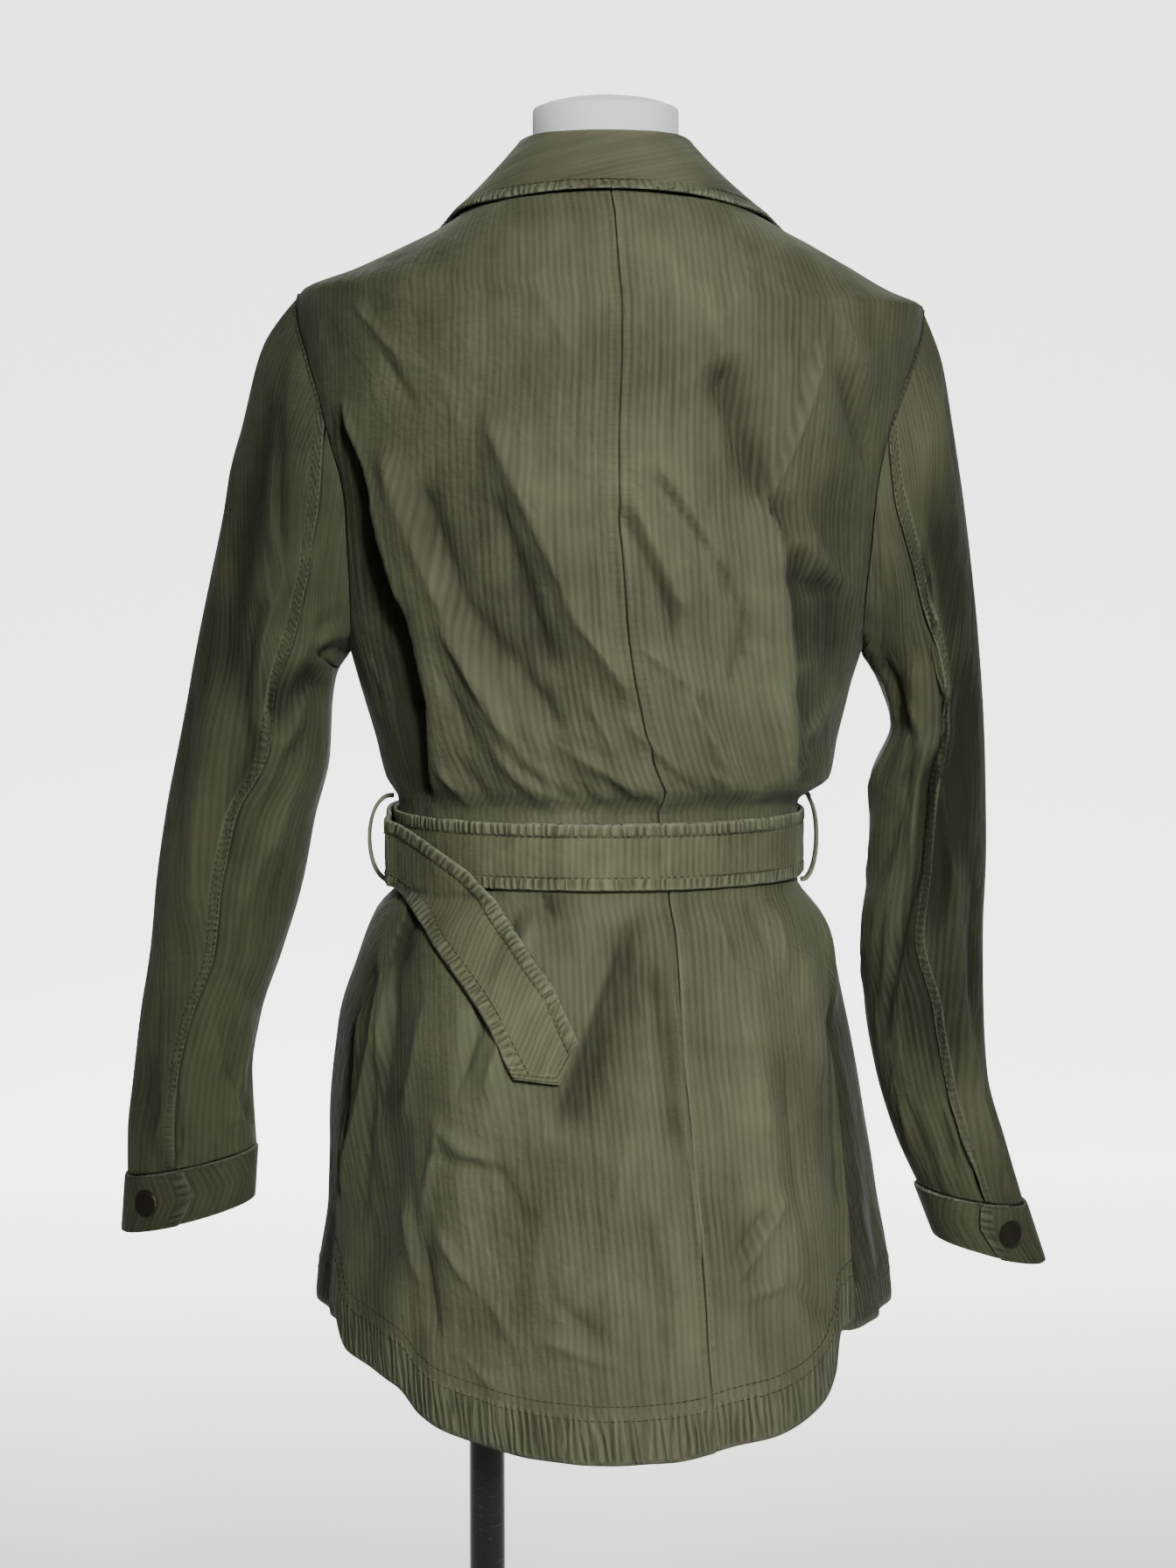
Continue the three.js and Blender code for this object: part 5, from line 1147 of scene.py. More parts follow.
def panel_surface(side, face):
    """The outer face of a body panel, with its seams, hem band, wear, and painted light and shade."""
    sign = -1 if side == "left" else 1
    front = face == "front"
    under_middle = side == "left" and not front
    band = HEM_BAND[face]

    def surface(u, v):
        u = crowd(u, 0.6, 0.56 if under_middle else None)
        angle, z = panel_places(side, face, u, v)
        from_middle, from_edge = panel_seams(side, face, angle, z)
        hole = smooth((z - ARMPIT_Z + 22) / 24)
        fine = 1 - hole + hole * smooth((from_edge - 4) / 20)
        base = front_lift(side, angle, z) if front else np.zeros(len(u))
        place, normal = body_cloth(angle, z, base, lambda a, b: body(a, b, fine))
        above_hem = z - hem_height(face, angle)
        tucked = 1.0 if front else smooth((z - ARMPIT_Z) / 8)
        roll = -2.5 * smooth((0.7 - from_edge) / 0.7) * tucked
        roll = roll - 0.7 * np.exp(-np.abs(from_edge) / 0.8) * (1 - tucked)
        if under_middle:
            roll = roll - 2.5 * smooth((1.0 - from_middle) / 1.0)
        elif front:
            roll = roll - 0.5 * np.exp(-from_middle / 0.7)
        else:
            roll = roll + 0.35 * np.exp(-((from_middle - 1.8) / 1.8) ** 2) - 0.9 * np.exp(-from_middle / 0.5)
        roll = roll - 0.5 * np.exp(-above_hem / 0.8) + flute(sign, angle, above_hem)
        band_share = smooth((band + 1 - above_hem) / 2)
        roll = roll + 0.25 * band_share
        place = place + normal * roll[:, None]
        # Lighter on fold crests and darker in troughs: partly fading, partly painted light and shade.
        crest = np.clip(0.5 + fold_height(angle, z, fine) / 14, 0, 1)
        seam_wear = 0.0 if under_middle or front else 0.3 * np.exp(-((from_middle - 0.8) / 0.9) ** 2)
        worn = np.clip(0.9 * np.exp(-above_hem / 1.2) + seam_wear, 0, 1)
        pucker = band_share * smooth(above_hem / 2)
        if not front:
            pucker = pucker + 0.12 * np.exp(-((from_middle - 3) / 3) ** 2)
        # Painted shade: darker in the folds' troughs, on the fronts' skirt beside the side seams, and on the
        # back behind its overhanging folds, kept off the belt.
        shade = np.clip(-fold_height(angle, z, fine) / 26, 0, 1)
        if front:
            shade = shade + 0.6 * smooth((SKIRT_TOP_Z - z) / 60) * smooth((105 - np.abs(angle)) / 25)
        else:
            across = section(BODY, angle, z)[:, 0]
            belt_gap = smooth((np.abs(z - (BELT_TOP_Z + BELT_BOTTOM_Z) / 2) - 14) / 8)
            shade = np.clip(shade + 0.9 * belt_gap * fold_shade(BACK_STEPS, across, z), 0, 1)
        way = np.where(above_hem < 60, from_middle, z)
        flat = section(BODY, angle, z)
        return {"point": place, "normal": normal, "flat": flat, "crest": crest, "worn": worn,
                "pucker": pucker, "way": way, "shade": shade}

    return surface


def hem_row(side, face, above):
    """A topstitch row parallel to the hem."""
    sign = -1 if side == "left" else 1
    front = face == "front"

    def place(t):
        seam = read(SEAMS, "z", "centre", 640 + above) + sign * 0.6
        low = sign * (180 + PLACKET_OVERLAP - 1) if front else seam
        high = side_edge(side, face, np.array(690.0 + above)) - (0 if front else sign * 0.6)
        angle = mix(low, high, t)
        z = hem_height(face, angle) + above
        lift = front_lift(side, angle, z) if front else 0 * angle
        return body_cloth(angle, z, lift + flute(sign, angle, np.full(len(t), above)) + 0.2)

    return place


class JacketBuild:
    """What every piece's operator shares."""
    bl_options = {"REGISTER"}

    def supplies(self, context, key="cloth"):
        """The settings, the cloth's material and the thread's."""
        return context.scene.jacket_cloth, get_material(context, key), get_material(context, "thread")


class JACKET_OT_backs(JacketBuild, bpy.types.Operator):
    """Makes the two back panels with their hem band and centre-back seam"""
    bl_idname = "jacket.backs"
    bl_label = "Backs"

    def execute(self, context):
        settings, cloth, thread = self.supplies(context)
        for side, columns in (("left", 156), ("right", 118)):
            piece = sheet_grid(f"back_{side}_cloth", columns, 240, panel_surface(side, "back"), cloth,
                               replaces=[f"back_{side}"])
            rows = [hem_row(side, "back", above) for above in HEM_ROWS["back"]]
            stitches = stitch_piece(f"back_{side}_stitches", rows, settings, thread)
            declare(piece)
        return {"FINISHED"}


class JACKET_OT_fronts(JacketBuild, bpy.types.Operator):
    """Makes the two front panels, the right lapping over the left"""
    bl_idname = "jacket.fronts"
    bl_label = "Fronts"

    def execute(self, context):
        settings, cloth, thread = self.supplies(context)
        for side in ("left", "right"):
            piece = sheet_grid(f"front_{side}_cloth", 84, 130, panel_surface(side, "front"), cloth,
                               replaces=[f"front_{side}"])
            rows = [hem_row(side, "front", above) for above in HEM_ROWS["front"]]
            if side == "right":
                rows += [self.placket_row(inset) for inset in PLACKET_ROWS]
            stitches = stitch_piece(f"front_{side}_stitches", rows, settings, thread)
            declare(piece)
        return {"FINISHED"}

    def placket_row(self, inset):
        def place(t):
            z = mix(668, NECK_FRONT_Z - 4, t)
            angle = 180 + PLACKET_OVERLAP - inset + 0 * t
            return body_cloth(angle, z, front_lift("right", angle, z))

        return place


def sleeve_surface(side, top):
    """The outer face of one sleeve piece; the top sleeve carries the felled seam's band."""

    def surface(u, v):
        u = crowd(u, 0.7)
        long_at = (SLEEVE_END + 0.08) * crowd(v, 0.35)
        at = np.minimum(long_at, SLEEVE_END)
        seam = read(SLEEVE[side], "at", "seam", at)
        reach = UNDERLAP / SLEEVE_TURN
        start = FRONT_SLEEVE_SEAM if top else seam - reach
        end = seam if top else 360 + FRONT_SLEEVE_SEAM + reach
        angle = mix(start, end, u)
        place, normal = sleeve_cloth(side, at, angle)
        last = np.full(len(u), SLEEVE_END)
        into = sleeve_ring(side, last, angle) - sleeve_ring(side, last - 0.1, angle)
        place = place + into * ((long_at - at) / 0.1)[:, None]
        from_back = (seam - angle if top else angle - seam) * SLEEVE_TURN
        from_front = (angle + 90 if top else 270 - angle) * SLEEVE_TURN
        along = at * SLEEVE_STEP
        slit = smooth((at - 10.1) / 0.25) * smooth((11.95 - at) / 0.25)
        if top:
            beside = np.minimum(from_back, np.where(angle > -30, along, 1e3))
            band = smooth((SLEEVE_BAND - beside) / 1.2) * smooth((angle + 20) / 40)
            roll = 1.0 * band - 0.9 * np.exp(-from_back / 0.8) - 0.8 * np.exp(-from_front / 0.8)
            roll = roll + slit * 1.5 * np.exp(-from_back / 4)
        else:
            band = np.zeros(len(u))
            roll = -2.5 * smooth((1.1 - from_back) / 1.1) - 2.5 * smooth((1.1 - from_front) / 1.1)
            roll = roll - slit * 1.6 * smooth((7 - from_back) / 5)
        roll = roll - 0.6 * np.exp(-along / 1.2) - 2.4 * smooth((at - 11.93) / 0.05)
        place = place + normal * roll[:, None]
        push = sleeve_push(side, at, angle)
        # Lighter on fold crests and darker in troughs: partly fading, partly painted light and shade.
        crest = np.clip(0.5 + push / 10, 0, 1)
        worn = np.zeros(len(u))
        if top:
            inner = 0.75 * np.exp(-((beside - 0.8) / 0.8) ** 2)
            outer = 0.65 * np.exp(-((beside - SLEEVE_BAND + 0.6) / 0.8) ** 2)
            worn = (inner + outer) * smooth((angle + 20) / 40)
        # Painted shade in the sleeve's troughs; painted light on the left sleeve's lower part; on the right
        # sleeve, painted shade on the outer strip beyond the ridge and painted light near the shoulder.
        shade = np.clip(-push / 14, 0, 1) - 0.35 * smooth((at - 5) / 4) * (side == "left")
        if side == "right":
            ridge = read(RIDGE, "at", "angle", at)
            away = smooth((ridge - angle) / 9) * smooth((angle + 70) / 60) * smooth((at - 1.1) / 1.3)
            shade = shade + 0.65 * away * smooth((10.6 - at) / 1.5) - 0.3 * smooth((2.4 - at) / 1.6)
        flat = sleeve_ring(side, at, angle)
        return {"point": place, "normal": normal, "flat": flat, "crest": crest, "worn": worn,
                "pucker": band * 0.5, "way": np.where(from_back < along, along, angle), "shade": shade}

    return surface


class JACKET_OT_sleeves(JacketBuild, bpy.types.Operator):
    """Makes the top and under sleeves with their felled back seams"""
    bl_idname = "jacket.sleeves"
    bl_label = "Sleeves"

    def execute(self, context):
        settings, cloth, thread = self.supplies(context)
        for side in ("left", "right"):
            top = sheet_grid(f"sleeve_{side}_top_cloth", 98, 210, sleeve_surface(side, True), cloth,
                             replaces=[f"sleeve_{side}_top"])
            under = sheet_grid(f"sleeve_{side}_under_cloth", 70, 170, sleeve_surface(side, False), cloth,
                               replaces=[f"sleeve_{side}_under"])
            rows = [row(side, inset) for row in (self.seam_row, self.armhole_row) for inset in SLEEVE_ROWS]
            stitches = stitch_piece(f"sleeve_{side}_stitches", rows, settings, thread)
            declare(top)
            declare(under)
        return {"FINISHED"}

    def seam_row(self, side, inset):
        def place(t):
            at = mix(0.15, 11.9, t)
            angle = read(SLEEVE[side], "at", "seam", at) - inset / SLEEVE_TURN
            return sleeve_cloth(side, at, angle, 0.75 + 0 * t)

        return place

    def armhole_row(self, side, inset):
        def place(t):
            angle = mix(4.0, 72.0, t)
            return sleeve_cloth(side, inset / SLEEVE_STEP + 0 * t, angle, 0.75 + 0 * t)

        return place


class JACKET_OT_collar(JacketBuild, bpy.types.Operator):
    """Makes the collar: stand, roll and fall in one cloth"""
    bl_idname = "jacket.collar"
    bl_label = "Collar"

    def execute(self, context):
        settings, cloth, thread = self.supplies(context)

        def surface(u, v):
            angle = mix(-COLLAR_END, COLLAR_END, crowd(u, 0.5))
            part = 3 * v ** 0.9
            place, normal = collar_cloth(angle, part)
            fall = np.clip(part - 2, 0, 1)
            from_edge = (1 - fall) * COLLAR_FALL
            from_end = (COLLAR_END - np.abs(angle)) * 1.1
            beside = np.where(part > 2, np.minimum(from_edge, from_end), 50)
            pucker = smooth((7.0 - beside) / 1.2)
            soft = 0.8 * ripple(angle * 1.4, part * 40, 31, 12.0) * smooth((part - 1.6) * 3)
            place = place + normal * (0.2 * pucker - 0.5 * np.exp(-beside / 0.7) + soft)[:, None]
            worn = np.clip(np.exp(-beside / 1.2) + 0.25 * np.exp(-((part - 1.6) / 0.35) ** 2), 0, 1)
            # crest: painted light and shade on the ripples, lighter on their rises and darker in their dips,
            # plus a slow wave of tone round the collar.
            crest = np.clip(0.52 + soft / 5 + 0.10 * np.cos(np.radians(angle * 3)), 0, 1)
            return {"point": place, "normal": normal, "crest": crest, "worn": worn, "pucker": pucker,
                    "way": angle * 1.3}

        piece = sheet_grid("collar_cloth", 240, 56, surface, cloth, replaces=["collar"])

        def edge_row(t):
            angle = mix(COLLAR_INSET - COLLAR_END, COLLAR_END - COLLAR_INSET, t)
            return collar_cloth(angle, 3 - COLLAR_ROW / COLLAR_FALL + 0 * t, 0.05 + 0 * t)

        def end_row(sign):
            def place(t):
                angle = sign * (COLLAR_END - COLLAR_INSET) + 0 * t
                return collar_cloth(angle, mix(2.05, 2.87, t), 0.05 + 0 * t)

            return place

        stitches = stitch_piece("collar_stitches", [edge_row, end_row(-1), end_row(1)], settings, thread)
        declare(piece)
        return {"FINISHED"}


def cuff_place(side, u, rise, extra=0.0):
    """Points of the cuff's strip: u from the pointed tab round to the end that lies under it."""
    tip = CUFF_TAB_TIP * (1 - smooth(u / 0.07)) * (1 - np.abs(2 * rise - 1))
    angle = CUFF_TAB_ANGLE[side] + tip - u * (360 + CUFF_UNDERLAP)
    lift = 3.2 * (1 - smooth((u - 0.1) / 0.12)) - 0.2 + extra
    return cuff_cloth(side, angle, rise, lift)


class JACKET_OT_cuffs(JacketBuild, bpy.types.Operator):
    """Makes the cuffs with their pointed tabs and snaps"""
    bl_idname = "jacket.cuffs"
    bl_label = "Cuffs"

    def execute(self, context):
        settings, cloth, thread = self.supplies(context)
        for side in ("left", "right"):
            piece = sheet_grid(f"cuff_{side}_cloth", 220, 22, self.surface(side), cloth,
                               replaces=[f"cuff_{side}"])
            rows = [self.row(side, rise) for rise in CUFF_ROWS]
            stitches = stitch_piece(f"cuff_{side}_stitches", rows, settings, thread)
            declare(piece)
            refinish(context, f"cuff_snap_{side}", "snap")
        return {"FINISHED"}

    def surface(self, side):
        def surface(u, v):
            u, v = crowd(u, 0.3), crowd(v, 0.5)
            place, normal = cuff_place(side, u, v)
            beside = np.minimum(v, 1 - v) * CUFF_HEIGHT
            from_end = u * CUFF_LENGTH
            edge = np.minimum(beside, from_end)
            pucker = smooth((5.6 - edge) / 1.2)
            soft = 0.5 * ripple(from_end, v * 30, 41 if side == "left" else 42, 10.0)
            place = place + normal * (0.2 * pucker - 0.4 * np.exp(-edge / 0.7) + soft)[:, None]
            way = np.where(beside < from_end, from_end, v * CUFF_HEIGHT)
            # crest: painted light and shade on the ripples, lighter on their rises and darker in their dips.
            return {"point": place, "normal": normal, "crest": np.clip(0.5 + soft / 4, 0, 1),
                    "worn": np.exp(-edge / 1.1), "pucker": pucker, "way": way}

        return surface

    def row(self, side, rise):
        def place(t):
            return cuff_place(side, mix(0.02, 0.9, t), rise + 0 * t, 0.1)

        return place


def belt_edge_shape(beside, along, seed):
    """Rolled edges and rows of puckers of a doubled, topstitched strip."""
    pucker = smooth((BELT_ROW - beside) / 1.2) * smooth(beside / 1.2)
    groove = -0.35 * np.exp(-((beside - BELT_ROW) / 0.8) ** 2)
    soft = 0.5 * ripple(along, beside * 2, seed, 14.0) + 0.35 * ripple(along * 1.7, beside * 6, seed + 5, 9.0)
    height = groove + 0.25 * pucker - 0.7 * np.exp(-beside / 0.6) + soft
    # Returns the height, the puckers, painted light and shade on the ripples (lighter on their rises, darker
    # in their dips), and wear at the edges.
    return height, pucker, np.clip(0.5 + soft / 4, 0, 1), np.clip(np.exp(-beside / 1.1), 0, 1)


class JACKET_OT_belt(JacketBuild, bpy.types.Operator):
    """Makes the belt's band, its loose tail, the side loops and the buckle's finish"""
    bl_idname = "jacket.belt"
    bl_label = "Belt"

    def execute(self, context):
        settings, belt, thread = self.supplies(context, "belt")

        def strip(places, along, beside, seed):
            height, pucker, crest, worn = belt_edge_shape(beside, along, seed)
            place, normal = places
            return {"point": place + normal * height[:, None], "normal": normal, "crest": crest, "worn": worn,
                    "pucker": pucker, "way": along}

        def band(u, v):
            v = crowd(v, 0.5)
            angle = mix(-BELT_GAP_ANGLE, BELT_GAP_ANGLE, u)
            places = body_cloth(angle, mix(BELT_BOTTOM_Z, BELT_TOP_Z, v), belt_lift(angle), body_plain)
            return strip(places, u * BELT_LENGTH, np.minimum(v, 1 - v) * BELT_WIDTH, 51)

        def tail(u, v):
            v = crowd(v, 0.5)
            beside = np.minimum(np.minimum(v, 1 - v) * BELT_WIDTH, (1 - u) * TAIL_LENGTH * 0.75)
            return strip(tail_cloth(TAIL_STEPS * u, 2 * v - 1, 0 * u), u * TAIL_LENGTH, beside, 52)

        def band_row(rise):
            def place(t):
                angle = mix(1 - BELT_GAP_ANGLE, BELT_GAP_ANGLE - 1, t)
                z = mix(BELT_BOTTOM_Z, BELT_TOP_Z, rise) + 0 * t
                return body_cloth(angle, z, belt_lift(angle) - 0.15, body_plain)

            return place

        def tail_row(rise):
            def place(t):
                return tail_cloth(TAIL_STEPS * mix(0.01, 0.975, t), 2 * rise - 1 + 0 * t, -0.15 + 0 * t)

            return place

        def tail_end(t):
            across = 2 * mix(row, 1 - row, t) - 1
            return tail_cloth(TAIL_STEPS * (0.975 + 0 * t), across, -0.15 + 0 * t)

        def cloth_of(name, columns, surface):
            return sheet_grid(f"{name}_cloth", columns, 24, surface, belt, "belt_cloth", BELT_CLOTH, [name])

        def stitches_of(name, rows):
            return stitch_piece(f"{name}_stitches", rows, settings, thread, "belt_cloth")

        row = BELT_ROW / BELT_WIDTH
        band_piece, tail_piece = cloth_of("belt_band", 460, band), cloth_of("belt_tail", 260, tail)
        band_stitches = stitches_of("belt_band", [band_row(row), band_row(1 - row)])
        tail_stitches = stitches_of("belt_tail", [tail_row(row), tail_row(1 - row), tail_end])
        declare(band_piece)
        declare(tail_piece)
        self.loops(get_material(context, "cloth"))
        refinish(context, "buckle", "buckle")
        return {"FINISHED"}

    def loops(self, material):
        for side, angle in BELT_LOOP_ANGLE.items():
            reach = BELT_LOOP_REACH[side]
            width = np.array([math.cos(math.radians(angle)), math.sin(math.radians(angle)), 0.0])

            def curve(t):
                z = 952 + 27 * np.cos(math.pi * t)
                lift = 1.9 + (reach - 1.9) * np.sin(math.pi * np.clip(t, 0, 1)) ** 0.75
                base = section(BODY, angle + 0 * t, z)
                return base + outward_of(angle + 0 * t) * lift[:, None]

            def surface(u, v):
                edge = 2 * crowd(u, 0.5) - 1
                along = unit(curve(np.minimum(1, v + 0.01)) - curve(np.maximum(0, v - 0.01)))
                normal = unit(np.cross(along, width))
                place = curve(v) + width * (edge * BELT_LOOP_HALF_WIDTH)[:, None]
                beside = (1 - np.abs(edge)) * BELT_LOOP_HALF_WIDTH
                roll = -0.5 * np.exp(-beside / 0.7)
                return {"point": place + normal * roll[:, None], "normal": normal,
                        "worn": np.exp(-beside / 1.2), "way": v * 70}

            piece = sheet_grid(f"belt_loop_{side}_cloth", 12, 72, surface, material,
                               replaces=[f"belt_loop_{side}"])
            declare(piece)


class JACKET_OT_pockets(JacketBuild, bpy.types.Operator):
    """Makes the hip pockets and their flaps on the fronts"""
    bl_idname = "jacket.pockets"
    bl_label = "Pockets"

    def execute(self, context):
        settings, cloth, thread = self.supplies(context)
        for side in ("left", "right"):
            for name, size, lift in (("pocket", POCKET, 1.7), ("pocket_flap", FLAP, 3.5)):
                piece = sheet_grid(f"{name}_{side}_cloth", 40, 34, self.surface(side, size, lift), cloth,
                                   thickness=POCKET_CLOTH, replaces=[f"{name}_{side}"])
                rows = [self.row(side, size, lift, *ends) for ends in self.sides(name)]
                stitches = stitch_piece(f"{name}_{side}_stitches", rows, settings, thread)
                declare(piece)
        return {"FINISHED"}

    def sides(self, name):
        low, high = 0.06, 0.94
        rows = [((low, low), (high, low)), ((low, low), (low, high)), ((high, low), (high, high))]
        return rows if name == "pocket" else rows + [((low, high), (high, high))]

    def cloth(self, side, size, lift, u, v):
        """Points and normals: u from the side seam forwards, v up, the lower edge pointed where it is so."""
        sign = -1 if side == "left" else 1
        drop = size.get("point", 0) * (1 - np.abs(2 * u - 1)) * (1 - v)
        angle = sign * mix(size["near"], size["far"], u)
        z = mix(size["bottom"], size["top"], v) - drop
        low = np.full(len(u), float(size["bottom"]))
        return body_cloth(angle, z, lift + front_lift(side, angle, low))

    def surface(self, side, size, lift):
        def surface(u, v):
            u, v = crowd(u, 0.6), crowd(v, 0.6)
            place, normal = self.cloth(side, size, lift, u, v)
            height = size["top"] - size["bottom"]
            from_side, from_end = np.minimum(u, 1 - u) * POCKET_WIDTH, np.minimum(v, 1 - v) * height
            beside = np.minimum(from_side, from_end)
            pucker = smooth((6 - beside) / 1.2) * smooth(beside)
            roll = -0.6 * np.exp(-beside / 0.7)
            way = np.where(from_side < from_end, v * height, u * POCKET_WIDTH)
            return {"point": place + normal * roll[:, None], "normal": normal, "worn": np.exp(-beside / 1.1),
                    "pucker": pucker, "way": way}

        return surface

    def row(self, side, size, lift, start, end):
        def place(t):
            return self.cloth(side, size, lift, mix(start[0], end[0], t), mix(start[1], end[1], t))

        return place


class JACKET_OT_snaps(JacketBuild, bpy.types.Operator):
    """Finishes the front snaps"""
    bl_idname = "jacket.snaps"
    bl_label = "Front snaps"

    def execute(self, context):
        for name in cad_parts:
            if name.startswith("front_snap"):
                refinish(context, name, "snap")
        return {"FINISHED"}


class JACKET_OT_form(JacketBuild, bpy.types.Operator):
    """Makes the form's neck and finishes its torso"""
    bl_idname = "jacket.form"
    bl_label = "Dress form"

    def execute(self, context):
        neck = FORM_NECK
        bottom, top = neck["bottom"], neck["top"]
        profile = [(0.0, bottom), (1.0, bottom), (1.0, bottom + 1), (0.985, bottom + 27), (0.985, top - 9.5),
                   (0.972, top - 8), (0.94, top - 7), (0.8, top - 4.6), (0.6, top - 2.5), (0.3, top - 0.6),
                   (0.0, top)]
        profile = [(r, z * MM) for r, z in profile]
        piece = turned("form_neck_cover", profile, 96, get_material(context, "form"), "form_cover",
                       stretch=(neck["half_width"] * MM, neck["half_depth"] * MM, 1),
                       centre=((neck["x"] + SHIFT[0]) * MM, SHIFT[1] * MM, 0))
        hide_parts("form_neck")
        refinish(context, "form_torso", "form")
        return {"FINISHED"}


class JACKET_OT_stand(JacketBuild, bpy.types.Operator):
    """Makes the pole, hub and base with rounded edges"""
    bl_idname = "jacket.stand"
    bl_label = "Stand"

    def execute(self, context):
        for name, segments in (("hub", 96), ("pole", 64), ("base", 160)):
            low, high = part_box(name)
            centre = ((low.x + high.x) / 2, (low.y + high.y) / 2, 0)
            piece = turned(f"{name}_turned", self.profile(name, low, high), segments,
                           get_material(context, "stand"), "stand", centre=centre)
            piece.data.set_sharp_from_angle(angle=math.radians(40))
            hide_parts(name)
        return {"FINISHED"}

    def profile(self, name, low, high):
        """Radii and heights of a turned part, in metres."""
        radius = (high.x - low.x) / 2
        plate, boss, edge = 0.014, 0.022, 0.003
        profiles = {
            "hub": [(0, low.z), (radius - 0.002, low.z), (radius, low.z + 0.002), (radius, high.z),
                    (0, high.z)],
            "pole": [(0, low.z), (radius, low.z), (radius, high.z), (0, high.z)],
            "base": [(0, low.z), (radius - 0.001, low.z), (radius, low.z + 0.001), (radius, plate - edge),
                     (radius - 0.0009, plate - 0.0009), (radius - edge, plate), (boss + edge, plate),
                     (boss, plate + edge), (boss, high.z - 0.002), (boss - 0.002, high.z), (0, high.z)],
        }
        return profiles[name]


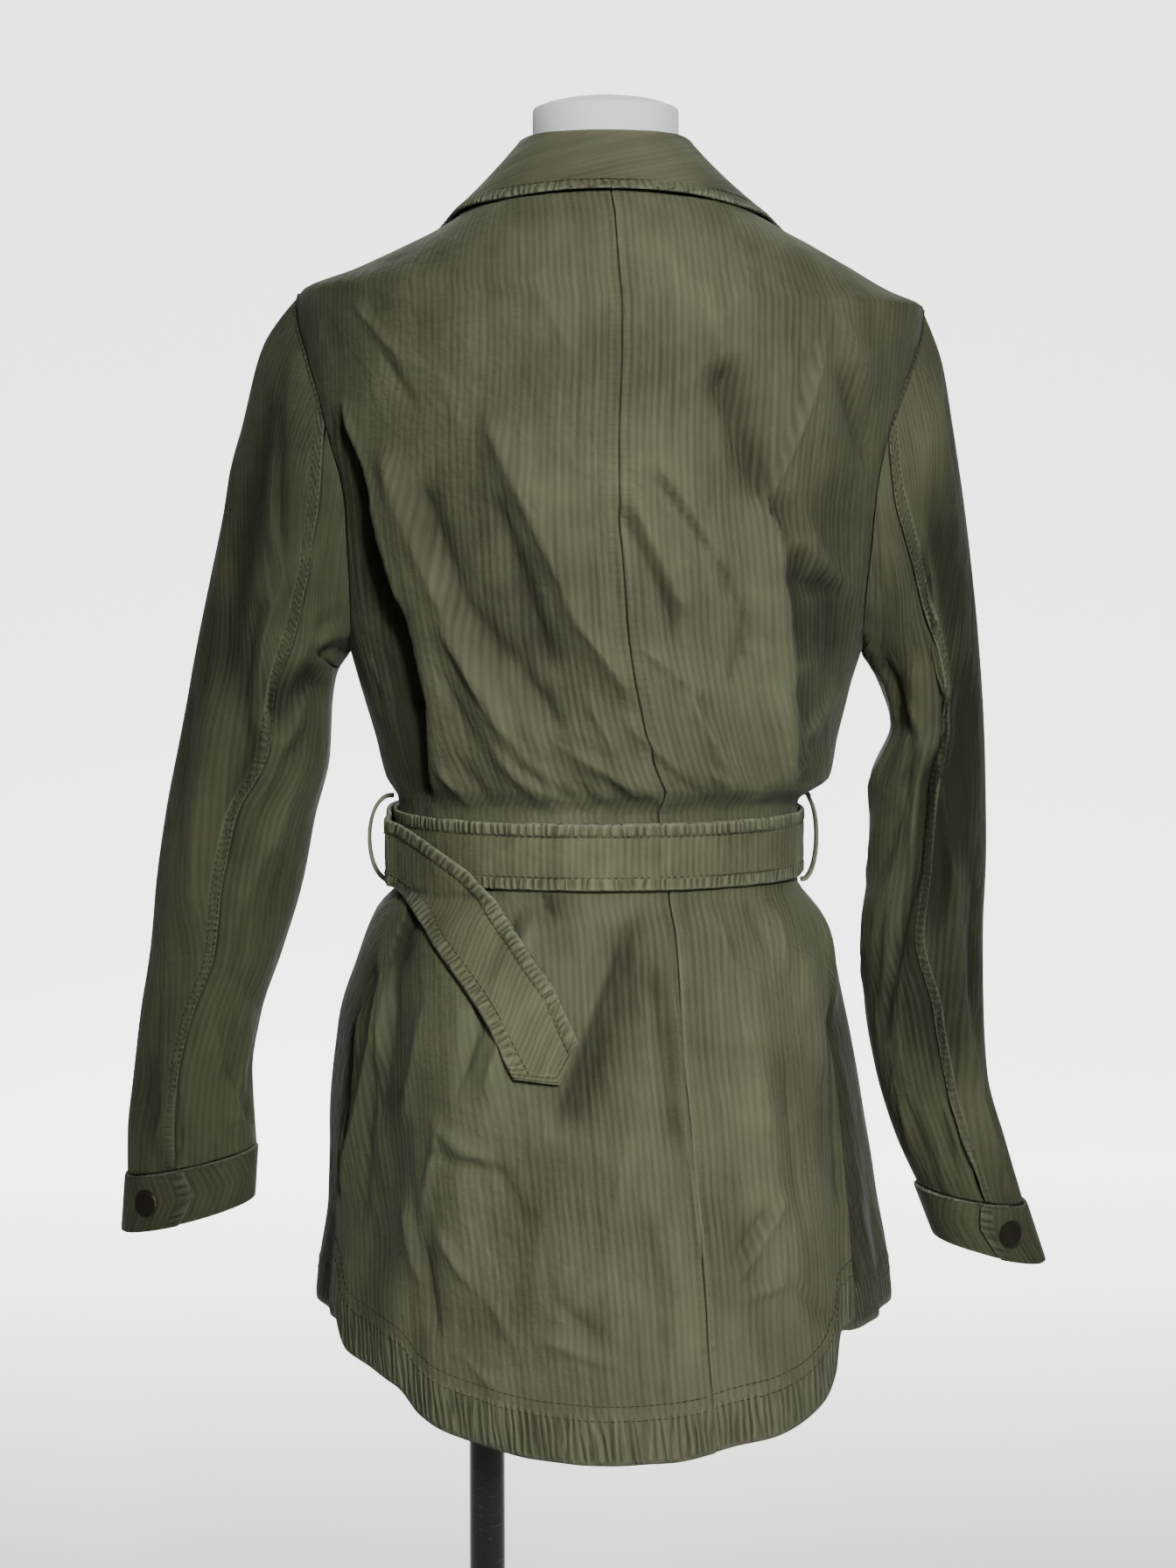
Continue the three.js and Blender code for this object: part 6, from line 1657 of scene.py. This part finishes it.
class JACKET_OT_stage(JacketBuild, bpy.types.Operator):
    """Makes the floor, the soft lights and the camera at the photograph's angle"""
    bl_idname = "jacket.stage"
    bl_label = "Studio"

    def execute(self, context):
        stage = context.scene.jacket_stage
        paper = self.paper(stage)
        floor = self.plane("studio_floor", stage.floor_size / 2, Matrix(), paper)
        for vert in floor.data.vertices:
            if vert.co.y > 0:
                vert.co.y = BACKDROP_Y
        upright = Matrix.Translation((0, BACKDROP_Y, BACKDROP_HALF)) @ Matrix.Rotation(math.pi / 2, 4, "X")
        self.plane("studio_backdrop", BACKDROP_HALF, upright, paper)
        self.lights(context)
        self.camera(context, stage)
        return {"FINISHED"}

    def paper(self, stage):
        """Pale paper that glows more the further back it lies."""
        f = Finish("floor_paper")
        place = f.place()
        grain = f.noise(place, 3.0, 2.0)
        far = ((f.split(place)[1] - 0.9) / 1.6).clamped()
        glow = f.blend(far, (0.0, 0.0, 0.0, 1.0), (1.0, 1.0, 1.0, 1.0))
        f.shader.inputs["Emission Strength"].default_value = stage.backdrop_glow
        paper = f.blend(grain, (0.88, 0.88, 0.88, 1), (0.92, 0.92, 0.92, 1))
        return f.shade(Base_Color=paper, Roughness=0.9, Emission_Color=glow)

    def plane(self, name, size, matrix, material):
        bm = bmesh.new()
        bmesh.ops.create_grid(bm, x_segments=1, y_segments=1, size=size)
        bmesh.ops.transform(bm, matrix=matrix, verts=bm.verts[:])
        mesh = bpy.data.meshes.new(name)
        bm.to_mesh(mesh)
        bm.free()
        mesh.materials.append(material)
        thing = bpy.data.objects.new(name, mesh)
        bpy.context.scene.collection.objects.link(thing)
        return thing

    def lights(self, context):
        world = bpy.data.worlds.new("studio_world")
        context.scene.world = world
        world.use_nodes = True
        background = world.node_tree.nodes["Background"]
        background.inputs["Color"].default_value = (1.0, 0.94, 0.84, 1.0)
        background.inputs["Strength"].default_value = 0.07
        lamps = [
            ("key", (0.50, -2.50, 2.15), (0.025, 0.0, 1.0), (0.3, 1.3), 14, 2.9, (0.96, 1.0, 0.97)),
            ("fill", (0.6, -2.6, 2.4), (0.0, 0.0, 0.9), (1.2, 1.2), 180, 14, (1.0, 0.97, 0.86)),
            ("front", (0.0, 2.5, 2.9), (0.0, 0.0, 1.0), (0.8, 0.8), 180, 24, (1.0, 0.98, 0.94)),
        ]
        for name, place, target, size, spread, energy, colour in lamps:
            lamp = bpy.data.lights.new(name, "AREA")
            lamp.shape = "RECTANGLE"
            lamp.size, lamp.size_y = size
            lamp.spread = math.radians(spread)
            lamp.energy = energy
            lamp.color = colour
            thing = bpy.data.objects.new(name, lamp)
            thing.location = place
            thing.rotation_euler = (Vector(target) - Vector(place)).to_track_quat("-Z", "Y").to_euler()
            context.scene.collection.objects.link(thing)

    def camera(self, context, stage):
        data = bpy.data.cameras.new("photo_camera")
        data.lens = stage.lens
        data.sensor_width = 36
        data.clip_end = 50
        camera = bpy.data.objects.new("photo_camera", data)
        camera.location = (CAMERA_X, -stage.camera_distance, stage.camera_height)
        camera.rotation_euler = (math.pi / 2 - stage.camera_tilt, 0, 0)
        context.scene.collection.objects.link(camera)
        context.scene.camera = camera


class JACKET_PT_panel(bpy.types.Panel):
    """Lists the pieces and the settings"""
    bl_idname = "JACKET_PT_panel"
    bl_label = "Belted Jacket"
    bl_space_type = "VIEW_3D"
    bl_region_type = "UI"
    bl_category = "Jacket"

    def draw(self, context):
        for operator in OPERATORS:
            self.layout.operator(operator.bl_idname)
        for name in ("jacket_cloth", "jacket_stand", "jacket_stage"):
            group = getattr(context.scene, name)
            box = self.layout.box()
            for key in group.__annotations__:
                box.prop(group, key)


OPERATORS = (
    JACKET_OT_backs, JACKET_OT_fronts, JACKET_OT_sleeves, JACKET_OT_collar, JACKET_OT_cuffs, JACKET_OT_belt,
    JACKET_OT_pockets, JACKET_OT_snaps, JACKET_OT_form, JACKET_OT_stand, JACKET_OT_stage,
)
GROUPS = {
    "jacket_cloth": JacketClothSettings,
    "jacket_stand": JacketStandSettings,
    "jacket_stage": JacketStageSettings,
}


def register():
    for group in GROUPS.values():
        bpy.utils.register_class(group)
    for operator in OPERATORS:
        bpy.utils.register_class(operator)
    bpy.utils.register_class(JACKET_PT_panel)
    for name, group in GROUPS.items():
        setattr(bpy.types.Scene, name, bpy.props.PointerProperty(type=group))


def unregister():
    for name in GROUPS:
        delattr(bpy.types.Scene, name)
    bpy.utils.unregister_class(JACKET_PT_panel)
    for operator in OPERATORS:
        bpy.utils.unregister_class(operator)
    for group in GROUPS.values():
        bpy.utils.unregister_class(group)


def main():
    register()
    for operator in OPERATORS:
        family, name = operator.bl_idname.split(".")
        getattr(getattr(bpy.ops, family), name)()
    bpy.context.view_layer.update()


if __name__ == "__main__":
    main()
